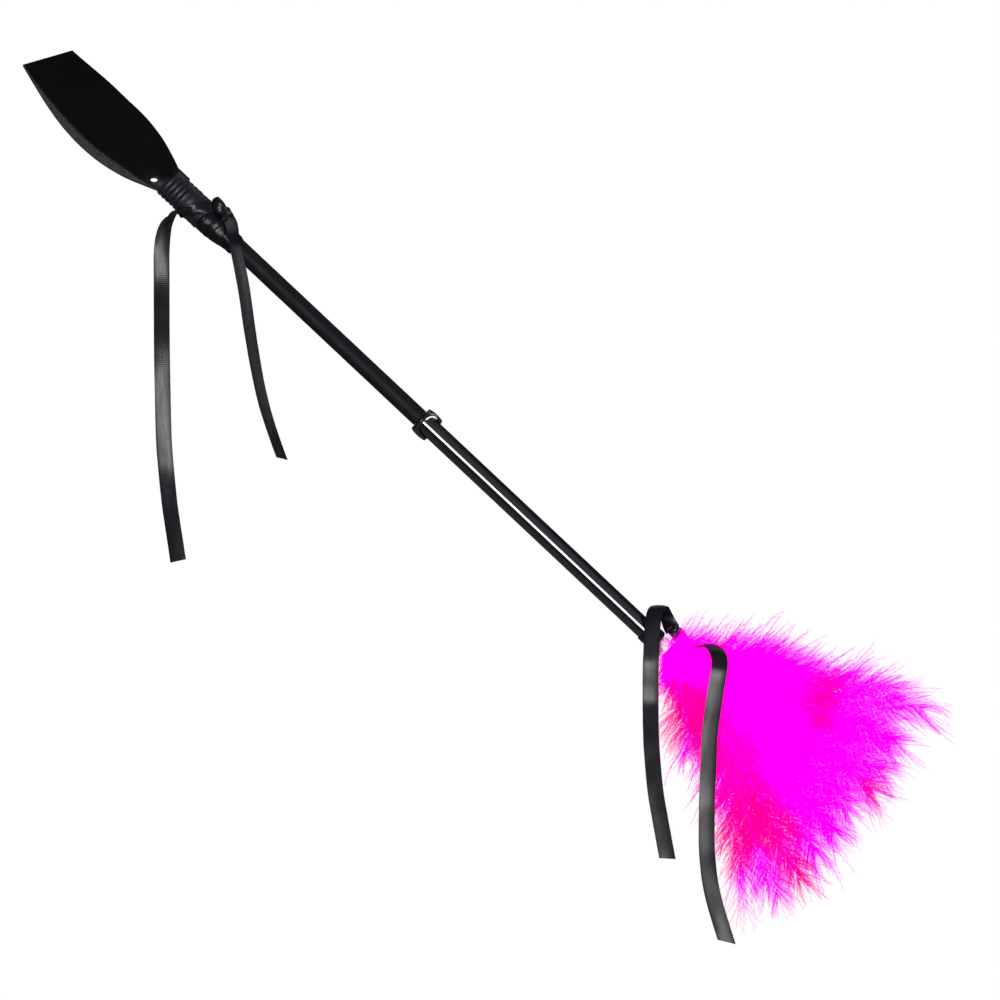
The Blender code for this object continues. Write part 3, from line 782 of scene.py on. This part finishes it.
def winding_tree():
    """A cord of oval section wound round an oval core, with each turn slightly out of line."""
    put, tree, given = node_tree("Wound cord", Material=("Material",), Float=(
        "Turns", "Pitch", "Half Width", "Half Depth", "Cord Width", "Cord Thickness", "Start", "Unevenness", "Seed"))
    rise = put("Math:MULTIPLY", (given["Turns"], given["Pitch"]))
    spiral = put("CurveSpiral", {"Resolution": 64, "Rotations": given["Turns"], "Start Radius": 1.0,
                                 "End Radius": 1.0, "Height": rise})
    girth = put("CombineXYZ", (given["Half Width"], given["Half Depth"], 1.0))
    start = put("CombineXYZ", {2: given["Start"]})
    laid = put("Transform", {0: spiral, "Scale": girth, "Translation": start})
    # The ends dive under the neighbouring turns.
    place, part = put("InputPosition"), put("SplineParameter")
    rough = put("TexNoise", {"Vector": place, "W": given["Seed"], "Scale": 160.0, "Detail": 1.0},
                noise_dimensions="4D").outputs[1]
    shift = put("VectorMath:SUBTRACT", (rough, (0.5, 0.5, 0.5)))
    shift = put("VectorMath:SCALE", {0: shift, "Scale": given["Unevenness"]})
    ends = put("Math:MULTIPLY", (part, put("Math:SUBTRACT", (1.0, part))))
    dive = put("Math:MINIMUM", (put("Math:MULTIPLY", (ends, 40.0)), 1.0))
    inward = put("MapRange", {0: dive, 3: 0.86, 4: 1.0})
    pulled = put("VectorMath:MULTIPLY", (place, put("CombineXYZ", (inward, inward, 1.0))))
    laid = put("SetPosition", {0: laid, "Position": put("VectorMath:ADD", (pulled, shift))})
    level = put("SetCurveNormal", {0: laid}, mode="Z_UP")
    ring = put("CurvePrimitiveCircle", {"Resolution": 10, "Radius": 0.5})
    section = put("CombineXYZ", (given["Cord Thickness"], given["Cord Width"], 1.0))
    oval = put("Transform", {0: ring, "Scale": section})
    tube = put("CurveToMesh", {0: level, 1: oval, "Fill Caps": True})
    return finished_tree(tree, tube, (None, given["Material"]))


def wound(name, values, material):
    """A cord wound round the shaft's own axis, in its place in the mesh."""
    tree = bpy.data.node_groups.get("Wound cord") or winding_tree()
    made = grown(name, bpy.data.meshes.new(name), tree, {**values, "Material": material})
    made.data.transform(SHAFT)
    return made


# ---- Binding at the tip ----

def ridged(angle, along, twist, count, seed):
    """Creases that wind round the shaft, from 0 in a valley to 1 on a ridge."""
    drift = noise.noise(Vector((math.cos(angle) * 1.6, math.sin(angle) * 1.6, seed + along / (7 * MM))))
    phase = along * count + twist * angle / math.tau + 0.55 * drift
    return 1 - abs(2 * (phase % 1.0) - 1)


class CROP_OT_binding(Step, bpy.types.Operator):
    """Wind the lace and tape on the tip, cross them with ribbon and taper them into the sleeve"""

    bl_idname = "crop.binding"
    bl_label = "Tip Binding"

    def make(self):
        values = settings("crop_binding")
        wide, deep = values.half_width, values.half_depth
        lace = waxed_cloth("Waxed_polyester_lace", "0A0A0E", "1C1B25", 0.50, 0.5)
        tape = waxed_cloth("Waxed_woven_tape", "0A0A0E", "1A1922", 0.52, 0.4)

        cord = wound("binding_lace_turns", {
            "Turns": values.lace_turns + 0.15, "Pitch": values.lace_pitch, "Half Width": wide - 0.65 * MM,
            "Half Depth": deep - 0.65 * MM, "Cord Width": values.lace_pitch * 1.06, "Cord Thickness": 1.3 * MM,
            "Start": MOUTH + 1.0 * MM, "Unevenness": 0.55 * MM, "Seed": 2.0}, lace)
        finish_piece(cord, "crop", ["binding_lace"])

        start, stop = -146.2 * MM, -131.6 * MM

        def creases(angle, along):
            """Turns of tape, each edge a low step, under fine creases that follow the winding."""
            turn = (along * 170 + angle / math.tau) % 1.0
            step = values.crease * 0.9 * (turn ** 3)
            fine = noise.noise(Vector((3.2 * math.cos(angle), 3.2 * math.sin(angle), along / (1.7 * MM))))
            fold = ridged(angle, along, 1.0, 330, 4.0) ** 2
            return step + 0.16 * MM * fine + values.crease * 0.5 * fold - 0.3 * MM

        stations = []
        for index in range(46):
            part = index / 45
            along = start + (stop - start) * part
            swell = 1 - (2 * part - 1) ** 8 * 0.05
            stations.append(((wide + 0.05 * MM) * swell, (deep + 0.05 * MM) * swell, along))
        finish_piece(wrapped("binding_tape_skin", stations, [tape], sides=128, relief=creases), "crop",
                     ["binding_tape"])
        self.cross_ribbon(wide, deep)
        self.knot()
        self.taper()
        for name in ("flapper_end_front", "flapper_end_back"):
            dress(name, bpy.data.materials["Nappa_leather_black"])

    def cross_ribbon(self, wide, deep):
        """The ribbon that crosses the tape on the slant, narrowed and folded at its upper side."""
        centre, half, lean = -136.9 * MM, 3.6 * MM, 5.2 * MM
        sides, columns = 120, 10
        outer = []
        for index in range(sides):
            angle = math.tau * index / sides
            side, front = math.cos(angle), math.sin(angle)
            pinch = 1 - 0.42 * smooth_step((side - 0.45) / 0.55) - 0.30 * smooth_step((-side - 0.5) / 0.5)
            row, back = [], []
            for column in range(columns + 1):
                share = column / columns * 2 - 1
                along = centre + share * half * pinch + lean * side
                fold = 0.22 * MM * math.sin(share * 5.0 + 2.2 * side) + 0.2 * MM * noise.noise(
                    Vector((side * 2.2, front * 2.2, share * 1.6 + 5)))
                stand = 0.75 * MM + fold + 0.5 * MM * smooth_step((side - 0.5) / 0.5)
                edge = 0.35 * MM * abs(share) ** 6
                row.append(on_shaft((wide + stand - edge) * side, (deep + stand - edge) * front, along))
                back.append(on_shaft((wide + stand - 0.5 * MM) * side, (deep + stand - 0.5 * MM) * front, along))
            outer.append(row + back[::-1])
        us = [column * 0.7 for column in range(columns + 1)]
        made = settle("tip_ribbon_wrap", skin(outer + [outer[0]], capped=False, us=us + us[::-1],
                                              vs=[index * 0.4 for index in range(sides + 1)]),
                      [bpy.data.materials["Polyester_satin_black"]])
        welded(made)
        finish_piece(made, "crop", ["tip_ribbon_cross"])

    def knot(self):
        """The knot: a fold of ribbon that stands off the binding's upper side, where the short tail leaves it."""
        knot = folded_lump("tip_ribbon_knot_folds", on_shaft(8.2 * MM, 4.4 * MM, -130.2 * MM),
                           (UPPER * 0.94 + ALONG * 0.34, FRONT, ALONG * 0.94 - UPPER * 0.34),
                           (2.6 * MM, 3.2 * MM, 4.6 * MM), 9.0)
        finish_piece(knot, "crop", ["tip_ribbon_knot"])

    def taper(self):
        """Patent tape wound down from the binding onto the sleeve, wrinkled by the pull."""
        start, stop = -133.0 * MM, -111.4 * MM
        profile = ((0.0, 6.9, 5.6), (0.12, 7.2, 5.8), (0.3, 7.0, 5.8), (0.5, 6.2, 5.5), (0.72, 5.5, 5.1),
                   (0.9, 4.95, 4.85), (1.0, 4.6, 4.6))

        def wrinkles(angle, along):
            part = (along - start) / (stop - start)
            turn = (along * 150 + angle / math.tau + 0.35) % 1.0
            pull = ridged(angle, along, -2.0, 190, 13.0) ** 4
            lump = noise.noise(Vector((1.5 * math.cos(angle), 1.5 * math.sin(angle), along / (5.0 * MM) + 3)))
            fade = 1 - 0.65 * part
            return (0.35 * MM * turn ** 4 + 0.32 * MM * pull + 0.9 * MM * lump) * fade - 0.1 * MM * fade

        stations = []
        for index in range(61):
            part = index / 60
            for (low, wide_a, deep_a), (high, wide_b, deep_b) in zip(profile, profile[1:]):
                if low <= part <= high:
                    share = smooth_step((part - low) / (high - low))
                    stations.append(((wide_a + (wide_b - wide_a) * share) * MM,
                                     (deep_a + (deep_b - deep_a) * share) * MM, start + (stop - start) * part))
                    break
        finish_piece(wrapped("taper_wrap_skin", stations, [patent_tape()], sides=120, inner=0.25 * MM,
                             relief=wrinkles), "crop", ["taper_wrap"])


def welded(made):
    """Joins a mesh's seam and turns its faces outwards again."""
    shape = bmesh.new()
    shape.from_mesh(made.data)
    bmesh.ops.remove_doubles(shape, verts=shape.verts, dist=0.00001)
    bmesh.ops.recalc_face_normals(shape, faces=shape.faces)
    shape.to_mesh(made.data)
    shape.free()


# ---- Flapper ----

FLAPPER_TURN = math.radians(23)
FLAPPER = SHAFT @ Matrix.Translation((0, 0, MOUTH - 2.0 * MM)) @ Matrix.Rotation(-FLAPPER_TURN, 4, "Z")


def leaf_width(part):
    """Half width of a leaf as a share of its widest, from the binding (0) to the fold (1)."""
    rise = math.sin(math.pi / 2 * min(max(part, 0.0) / 0.48, 1.0)) ** 0.8
    return (0.5 + 0.5 * rise) * (1.0 - 0.233 * max(0.0, 2 * part - 1) ** 1.9)


def leaf_drift(part):
    """How far a leaf's middle strays to the flapper's right."""
    part = max(part, 0.0)
    return (0.65 - 1.2 * smooth_step(2 * part) + 4.25 * max(0.0, 2 * part - 1) ** 1.5) * MM


def punched(shape, centre, half_wide, half_high):
    """Opens an oval hole right through a sheet, front to back, and rounds its edge."""
    def share(place):
        return math.hypot((place.x - centre[0]) / half_wide, (place.z - centre[1]) / half_high)

    gone = [face for face in shape.faces if share(face.calc_center_median()) < 0.95]
    rim = {vert for face in gone for vert in face.verts}
    bmesh.ops.delete(shape, geom=gone, context="FACES")
    for vert in rim:
        if vert.is_valid and vert.is_boundary:
            scale = 1 / max(share(vert.co), 0.05)
            vert.co.x = centre[0] + (vert.co.x - centre[0]) * scale
            vert.co.z = centre[1] + (vert.co.z - centre[1]) * scale


class CROP_OT_flapper(Step, bpy.types.Operator):
    """Fold the leather strip into two leaves, smooth side out"""

    bl_idname = "crop.flapper"
    bl_label = "Flapper"

    def make(self):
        values = settings("crop_flapper")
        leaf_rows, fold_rows, columns = 110, 12, 34
        fold = 0.95 * MM
        start = -8.0 * MM
        path = []
        for index in range(leaf_rows + 1):
            reach = start + (values.length - start) * index / leaf_rows
            part = max(reach / values.length, 0.0)
            swell = smooth_step(part / 0.4) * (1 - smooth_step((part - 0.62) / 0.38))
            rest = 3.3 * MM * (1 - part) + fold * part
            path.append((reach, rest + (values.gap / 2 - 1.4 * MM) * swell))
        bend = [(values.length + fold * math.sin(math.pi * i / fold_rows), fold * math.cos(math.pi * i / fold_rows))
                for i in range(1, fold_rows)]
        path = path + bend + [(reach, -away) for reach, away in reversed(path)]
        shape = bmesh.new()
        rows = []
        for reach, away in path:
            part = min(reach / values.length, 1.0)
            half = values.half_width * leaf_width(part)
            drift = leaf_drift(part)
            curl = 2.6 * MM * (1 - smooth_step(part / 0.22))
            front = away >= 0
            row = []
            for index in range(columns + 1):
                across = index / columns * 2 - 1
                wide = half * across
                out = reach - 0.5 * wide * max(part, 0.0) ** 2
                warp = 0.35 * MM * noise.noise(Vector((wide / (16 * MM), reach / (24 * MM), 1.0 if front else 6.0)))
                place = Vector((wide + drift, away - (1 if front else -1) * curl * across * across + warp * part,
                                2.0 * MM - out))
                row.append(shape.verts.new(FLAPPER @ place))
            rows.append(row)
        for near, far in zip(rows, rows[1:]):
            for index in range(columns):
                shape.faces.new((near[index], near[index + 1], far[index + 1], far[index]))
        bmesh.ops.recalc_face_normals(shape, faces=shape.faces)
        # The sheet's own side is the smooth one, so it has to face out of the loop.
        middle = FLAPPER @ Vector((0, 0, 2.0 * MM - values.length / 2))
        face = shape.faces[:][(leaf_rows // 2) * columns + columns // 2]
        if face.normal.dot(face.calc_center_median() - middle) < 0:
            bmesh.ops.reverse_faces(shape, faces=shape.faces)
        # The slot beside the binding is seen through, from front to back.
        punched(shape, (-120.3 * MM, 107.6 * MM), 1.9 * MM, 1.25 * MM)
        made = settle("flapper_leather", shape, [nappa_leather(), leather_flesh_side(), cut_leather_edge()])
        solid = made.modifiers.new("leather", "SOLIDIFY")
        solid.thickness, solid.offset = values.leather, 0.0
        solid.material_offset, solid.material_offset_rim = 1, 2
        edge = made.modifiers.new("edges", "BEVEL")
        edge.width, edge.segments, edge.limit_method = 0.18 * MM, 2, "ANGLE"
        edge.angle_limit = math.radians(50)
        applied(made)
        made.data.set_sharp_from_angle(angle=math.radians(50))
        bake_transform(made)
        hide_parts("flapper_loop")


# ---- Butt tie ----

class CROP_OT_butt_tie(Step, bpy.types.Operator):
    """Wind the quill thread, lay the ribbon's band and tie its knot at the butt"""

    bl_idname = "crop.butt_tie"
    bl_label = "Butt Tie"

    def make(self):
        thread = wound("quill_thread_turns", {
            "Turns": 5.1, "Pitch": 1.0 * MM, "Half Width": 3.75 * MM, "Half Depth": 3.75 * MM,
            "Cord Width": 1.02 * MM, "Cord Thickness": 0.9 * MM, "Start": 160.4 * MM, "Unevenness": 0.35 * MM,
            "Seed": 8.0}, cotton_thread())
        finish_piece(thread, "crop", ["quill_thread"])
        dress("quill_bundle", dyed_quill())

        satin = bpy.data.materials["Polyester_satin_black"]
        rings = []
        for index in range(15):
            part = index / 14
            rings.append((5.35 * MM - 0.12 * MM * (2 * part - 1) ** 6, 5.35 * MM - 0.12 * MM * (2 * part - 1) ** 6,
                          (151.6 + 8.0 * part) * MM))

        def creases(angle, along):
            return 0.12 * MM * noise.noise(Vector((2.5 * math.cos(angle), 2.5 * math.sin(angle), along / (2.2 * MM))))

        band = wrapped("butt_ribbon_band_skin", rings, [satin], sides=96, inner=0.35 * MM, relief=creases)
        weave = band.data.uv_layers.new(name="weave")
        turn_back = SHAFT.inverted()
        for loop in band.data.loops:
            spot = turn_back @ band.data.vertices[loop.vertex_index].co
            weave.data[loop.index].uv = (spot.z / MM, math.atan2(spot.y, spot.x) * 5.3)
        finish_piece(band, "crop", ["butt_ribbon_band"])

        knot = folded_lump("butt_ribbon_knot_folds", Vector((124.4, -0.9, -104.4)) * MM, (UPPER, FRONT, ALONG),
                           (2.9 * MM, 3.6 * MM, 2.9 * MM), 21.0)
        finish_piece(knot, "crop", ["butt_ribbon_knot"])


# ---- Plume ----

# Each layer of feathers: its name, its place front to back, and each feather's fall below level with its length.
FEATHER_LAYERS = (
    ("front", 1, ((19, 112), (33, 114), (47, 112), (61, 122))),
    ("middle", 0, ((10, 121), (27, 114), (41, 112), (54, 116), (67, 125))),
    ("back", -1, ((20, 112), (34, 114), (48, 113), (61, 117))),
)
PLUME_ROOT = ALONG * (165.6 * MM)
BARB_TEMPLATE = 20 * MM  # the length of the barb that every barb is scaled from
# Short feathers that only fill the outline: front to back, fall, length and barbs as a share of the others'.
FILL_FEATHERS = ((1, -1, 52, 0.7), (0, 0, 60, 0.7), (-1, 4, 112, 1.0), (1, 11, 108, 0.9), (0, 20, 110, 0.8),
                 (1, 26, 112, 0.8), (1, 40, 108, 0.8), (0, 48, 110, 0.8), (-1, 54, 115, 0.8), (1, 71, 117, 0.9),
                 (0, 75, 112, 0.9), (1, 82, 46, 0.5), (-1, 78, 128, 0.25))
# The dye's tones. The plume's tree gives the rose ones near the plume's root as painted shade.
TONES = (("Marabou_magenta", "FF00DC"), ("Marabou_orchid", "FF00F0"), ("Marabou_fuchsia", "FF00BC"),
         ("Marabou_rose", "FF0096"))


def barb_template():
    """One barb: a bent three-sided strand that tapers to a point, with fluff on both sides."""
    values = settings("crop_plume")
    length, radius, fluff = BARB_TEMPLATE, values.barb_radius, values.barbule_length
    shape = bmesh.new()
    reach = shape.verts.layers.float.new("reach")

    def spine(part):
        return Vector((3.2 * MM * part ** 2, 0.7 * MM * math.sin(part * 4.2), length * part * (1 - 0.05 * part)))

    def corner(place, part):
        made = shape.verts.new(place)
        made[reach] = part
        return made

    rings = []
    segments = 5
    for index in range(segments):
        part = index / segments
        thick = radius * (1 - 0.62 * part)
        rings.append([corner(spine(part) + Vector((math.cos(a), math.sin(a), 0)) * thick, part)
                      for a in (0.0, math.tau / 3, math.tau * 2 / 3)])
    tip = corner(spine(1.0), 1.0)
    for near, far in zip(rings, rings[1:]):
        for index in range(3):
            after = (index + 1) % 3
            shape.faces.new((near[index], near[after], far[after], far[index]))
    for index in range(3):
        shape.faces.new((rings[-1][index], rings[-1][(index + 1) % 3], tip))
    shape.faces.new(rings[0][::-1])
    pairs = 8
    for index in range(pairs):
        for hand in (-1, 1):
            part = 0.07 + 0.88 * (index + (0.5 if hand > 0 else 0.1)) / pairs
            root = spine(part)
            ahead = (spine(part + 0.02) - root).normalized()
            out = Vector((0.45 * math.sin(index * 2.1 + hand), hand, 0)).normalized()
            towards = (out * 0.86 + ahead * 0.62).normalized()
            base = radius * 0.62 * (1 - 0.35 * part)
            foot = [corner(root + ahead * base * 1.6, part), corner(root - ahead * base * 1.6, part),
                    corner(root + towards.cross(ahead).normalized() * base * 1.2, part)]
            end = corner(root + towards * fluff * (1 - 0.45 * part), min(part + 0.06, 1.0))
            for first, second in ((0, 1), (1, 2), (2, 0)):
                shape.faces.new((foot[first], foot[second], end))
    mesh = bpy.data.meshes.new("barb")
    shape.to_mesh(mesh)
    shape.free()
    return new_object("barb", mesh)


def feather_tree():
    """Barbs along a feather's quill: splayed at its root, swept forward at its tip, gathered into tufts."""
    put, tree, given = node_tree("Marabou feather", Object=("Barb",), Int=("Barbs", "Seed"), Float=(
        "Barb Scale", "Root Splay", "Tip Splay", "Splay Spread", "Roll Spread", "Tuft Size", "Tuft Pull", "Curl",
        "Half Depth", "Quill Radius"), Material=("Tone 1", "Tone 2", "Tone 3", "Tone 4"))

    # Each barb's own numbers. The node has several sockets of each name, so its float ones go by number.
    own = {}
    for salt, (label, low, high) in enumerate((
            ("hand", -1.0, 1.0), ("roll", -0.5, 0.5), ("more roll", -0.5, 0.5), ("wander", -1.0, 1.0),
            ("length", 0.60, 1.05), ("tone", -0.03, 0.03), ("curl", 0.0, 50.0), ("stray", 0.0, 1.0)), 1):
        seed = put("IntegerMath:ADD", (given["Seed"], salt))
        own[label] = put("RandomValue", {2: low, 3: high, "Seed": seed}, data_type="FLOAT").outputs[1]

    curve = put("MeshToCurve", (given["Geometry"],))
    part, place, tangent = put("SplineParameter"), put("InputPosition"), put("InputTangent")
    depth = (0.0, 1.0, 0.0)
    lateral = put("VectorMath:CROSS_PRODUCT", (tangent, depth))
    hand = put("Math:SIGN", (own["hand"],))
    roll = put("Math:ADD", (own["roll"], own["more roll"]))
    roll = put("Math:MULTIPLY", (roll, given["Roll Spread"]))
    splay = put("MapRange", {0: put("Math:POWER", (part, 1.3)), 3: given["Root Splay"], 4: given["Tip Splay"]})
    splay = put("Math:MULTIPLY", (splay, put("MapRange", (part, 0.9, 1.0, 1.0, 0.6))))
    wander = put("Math:MULTIPLY", (own["wander"], given["Splay Spread"]))
    splay = put("Math:ADD", (splay, wander))
    sideways = put("VectorMath:SCALE", {0: lateral, "Scale": hand})
    # A barb leaves its quill to one side, rolled about it, and then leans ahead by its splay.
    out = depth
    for turn, way in ((roll, sideways), (splay, tangent)):
        near = put("VectorMath:SCALE", {0: way, "Scale": put("Math:COSINE", (turn,))})
        far = put("VectorMath:SCALE", {0: out, "Scale": put("Math:SINE", (turn,))})
        out = put("VectorMath:ADD", (near, far))
    aimed = put("AlignRotationToVector", {"Vector": out}, axis="Z")
    aimed = put("AlignRotationToVector", {"Rotation": aimed, "Vector": tangent}, axis="X", pivot_axis="Z")
    # Barbs are short at the root, longest at a third of the way and a little shorter at the tip.
    rise = put("MapRange", (part, 0.0, 0.3, 0.55, 1.0), interpolation_type="SMOOTHSTEP")
    fall = put("MapRange", (part, 0.6, 1.0, 1.0, 0.78), interpolation_type="SMOOTHSTEP")
    # A few barbs are far longer than the rest, and make the plume's thin fringe.
    stray = put("Math:MULTIPLY", (put("Math:POWER", (own["stray"], 16.0)), 0.75))
    grow = put("Math:MULTIPLY", (put("Math:ADD", (own["length"], stray)), given["Barb Scale"]))
    grow = put("Math:MULTIPLY", (put("Math:MULTIPLY", (rise, fall)), grow))
    # Rose deepens along the plume's lower left, towards its root: painted shade of the plume's dense core. The noise
    # over it is the dye's own unevenness.
    wave = put("TexNoise", {"Vector": place, "Scale": 38.0, "Detail": 0.5})
    core_shade_reach = put("VectorMath:DOT_PRODUCT", (place, (0.926, 0.0, 0.378))).outputs[1]
    tone = put("Math:ADD", (wave, put("MapRange", (core_shade_reach, 0.078, 0.125, 0.10, -0.12))))
    tone = put("Math:ADD", (tone, own["tone"]))

    root = put("ResampleCurve", {0: curve, "Count": given["Barbs"]})
    for label, value, kind in (("root", place, "FLOAT_VECTOR"), ("tone", tone, "FLOAT"),
                               ("own", own["curl"], "FLOAT")):
        root = put("StoreNamedAttribute", {0: root, "Name": label, "Value": value}, data_type=kind, domain="POINT")
    barb = put("ObjectInfo", {"Object": given["Barb"]}).outputs["Geometry"]
    fringe = put("InstanceOnPoints", {"Points": root, "Selection": put("Math:GREATER_THAN", (part, 0.035)),
                                      "Instance": barb, "Rotation": aimed, "Scale": grow})
    fringe = put("RealizeInstances", (fringe,))

    reach, base, bend, tone = (put("InputNamedAttribute", {"Name": label}, data_type=kind) for label, kind in (
        ("reach", "FLOAT"), ("root", "FLOAT_VECTOR"), ("own", "FLOAT"), ("tone", "FLOAT")))
    # Neighbouring barbs lean the same way, most at their tips, so that the edge breaks into tufts.
    spot, density = put("InputPosition"), put("Math:DIVIDE", (1.0, given["Tuft Size"]))
    clump = put("TexNoise", {"Vector": base, "Detail": 1.0, "Scale": density})
    lean = put("Math:MULTIPLY", (given["Tuft Pull"], put("Math:POWER", (reach, 1.6))))
    curl = put("TexNoise", {"Vector": spot, "W": bend, "Scale": 110.0, "Detail": 1.0}, noise_dimensions="4D")
    shifts = []
    for source, amount in ((clump, lean), (curl, put("Math:MULTIPLY", (given["Curl"], reach)))):
        centred = put("VectorMath:SUBTRACT", (source.outputs[1], (0.5, 0.5, 0.5)))
        shifts.append(put("VectorMath:SCALE", {0: centred, "Scale": amount}))
    moved = put("VectorMath:ADD", (spot, put("VectorMath:ADD", shifts)))
    # The plume keeps within its depth, and it is thin where the tied ribbon hangs before its root.
    x, y, z = put("SeparateXYZ", (moved,)).outputs
    room = put("MapRange", (x, 0.117, 0.128, 0.0056, given["Half Depth"]), interpolation_type="SMOOTHSTEP")
    share = put("Math:DIVIDE", (y, room))
    squeeze = put("Math:SQRT", (put("Math:ADD", (1.0, put("Math:MULTIPLY", (share, share)))),))
    held = put("CombineXYZ", (x, put("Math:DIVIDE", (y, squeeze)), z))
    fringe = put("SetPosition", {0: fringe, "Position": held})

    girth = put("Math:MULTIPLY", (put("MapRange", {0: part, 3: 1.0, 4: 0.2}), given["Quill Radius"]))
    ring = put("CurvePrimitiveCircle", {"Resolution": 8, "Radius": 1.0})
    quill = put("ResampleCurve", {0: curve, "Count": 40})
    quill = put("CurveToMesh", {0: quill, 1: ring, "Scale": girth, "Fill Caps": True})
    quill = put("StoreNamedAttribute", {0: quill, "Name": "tone", "Value": 0.5}, data_type="FLOAT", domain="POINT")
    whole = put("JoinGeometry")
    for piece in (quill, fringe):
        tree.links.new(piece.outputs[0], whole.inputs[0])
    return finished_tree(tree, whole, *(
        (put("Math:GREATER_THAN", (tone, low)), given[label])
        for label, low in (("Tone 2", -9.0), ("Tone 1", 0.42), ("Tone 3", 0.56), ("Tone 4", 0.64))))


def feather_line(fall, length, rank, count, layer):
    """Points along a feather's quill, from inside the thread to its tip."""
    offset = (rank - (count - 1) / 2) * 1.7 * MM
    spot = PLUME_ROOT + ALONG * (1.5 * MM) - UPPER * offset
    points = [spot - ALONG * (4.5 * MM) + UPPER * offset * 0.25, spot - ALONG * (2 * MM) + UPPER * offset * 0.1]
    steps = 48
    for index in range(steps + 1):
        part = index / steps
        heading = SLOPE + (math.radians(fall - 3 + 9 * part * part) - SLOPE) * smooth_step(part / 0.22)
        away = -layer * (1.9 + 10.5 * smooth_step(part / 0.5)) * MM
        points.append(Vector((spot.x, away, spot.z)))
        spot = spot + Vector((math.cos(heading), 0, -math.sin(heading))) * (length / steps)
    for point in points[:2]:
        point.y = -layer * 1.5 * MM
    return points


class CROP_OT_plume(Step, bpy.types.Operator):
    """Grow the marabou feathers, barb by barb"""

    bl_idname = "crop.plume"
    bl_label = "Plume"

    def make(self):
        values = settings("crop_plume")
        tones = [marabou(*tone) for tone in TONES]
        barb, tree = barb_template(), feather_tree()
        count = values.barbs // 1

        def grow(name, line, number, seed, **changes):
            mesh = bpy.data.meshes.new(name)
            mesh.from_pydata(line, [(i, i + 1) for i in range(len(line) - 1)], [])
            given = {"Barb": barb, "Barbs": number, "Barb Scale": values.barb_length / BARB_TEMPLATE,
                     "Root Splay": math.radians(66), "Tip Splay": math.radians(50),
                     "Splay Spread": math.radians(14), "Roll Spread": math.radians(80), "Tuft Size": 9 * MM,
                     "Tuft Pull": 16 * MM, "Curl": 5 * MM, "Half Depth": values.depth, "Quill Radius": 0.4 * MM,
                     "Seed": seed, **{f"Tone {index + 1}": tone for index, tone in enumerate(tones)}}
            return grown(name, mesh, tree, {**given, **changes})

        for layer_name, layer, feathers in FEATHER_LAYERS:
            for rank, (fall, length) in enumerate(feathers):
                line = feather_line(fall, length * MM, rank, len(feathers), layer)
                made = grow(f"marabou_{layer_name}_{rank + 1}", line, count, 100 * (layer + 2) + rank)
                finish_piece(made, "plume", [f"feather_{layer_name}_{rank + 1}"])
        for index, (layer, fall, length, share) in enumerate(FILL_FEATHERS):
            line = feather_line(fall, length * MM, index % 3, 3, layer)
            made = grow(f"marabou_fill_{index + 1}", line, int(count * share), 500 + index)
            finish_piece(made, "plume", [])
        # Short fluff hides the thread, the knot's end and the feathers' bare roots.
        for index, (side, front, barbs) in enumerate(((0, 2.0, 0.5), (7.0, 7.5, 0.7))):
            line = [ALONG * (164.0 + 14 * i / 12) * MM + UPPER * side * (i / 12) * MM + FRONT * front * (i / 12) * MM
                    for i in range(13)]
            tuft = grow(f"marabou_root_tuft_{index + 1}", line, int(count * barbs), 77 + index, **{
                "Root Splay": math.radians(78), "Tip Splay": math.radians(58), "Splay Spread": math.radians(26),
                "Roll Spread": math.radians(120), "Barb Scale": 0.95, "Quill Radius": 0.3 * MM})
            finish_piece(tuft, "plume", [])
        bpy.data.objects.remove(barb, do_unlink=True)


# ---- Panel and registration ----

SETTINGS = (
    ("crop_shaft", CropShaftSettings), ("crop_binding", CropBindingSettings), ("crop_flapper", CropFlapperSettings),
    ("crop_ribbon", CropRibbonSettings), ("crop_plume", CropPlumeSettings), ("crop_stage", CropStageSettings),
)
STEPS = (CROP_OT_camera, CROP_OT_ribbons, CROP_OT_shaft, CROP_OT_flapper, CROP_OT_binding, CROP_OT_butt_tie,
         CROP_OT_plume, CROP_OT_stage)


class CROP_PT_looks(bpy.types.Panel):
    """Lists the steps and their settings"""

    bl_idname = "CROP_PT_looks"
    bl_label = "Feather Crop"
    bl_space_type = "VIEW_3D"
    bl_region_type = "UI"
    bl_category = "Crop"

    def draw(self, context):
        for step in STEPS:
            self.layout.operator(step.bl_idname)
        for name, group in SETTINGS:
            box = self.layout.box()
            box.label(text=group.__doc__)
            for label in group.__annotations__:
                box.prop(getattr(context.scene, name), label)


def register():
    for name, group in SETTINGS:
        bpy.utils.register_class(group)
        setattr(bpy.types.Scene, name, bpy.props.PointerProperty(type=group))
    for entry in (*STEPS, CROP_PT_looks):
        bpy.utils.register_class(entry)


def unregister():
    for entry in (CROP_PT_looks, *reversed(STEPS)):
        bpy.utils.unregister_class(entry)
    for name, group in reversed(SETTINGS):
        delattr(bpy.types.Scene, name)
        bpy.utils.unregister_class(group)


def main():
    register()
    bpy.ops.crop.camera()
    bpy.ops.crop.ribbons()
    bpy.ops.crop.shaft()
    bpy.ops.crop.flapper()
    bpy.ops.crop.binding()
    bpy.ops.crop.butt_tie()
    bpy.ops.crop.plume()
    bpy.ops.crop.stage()


if __name__ == "__main__":
    main()
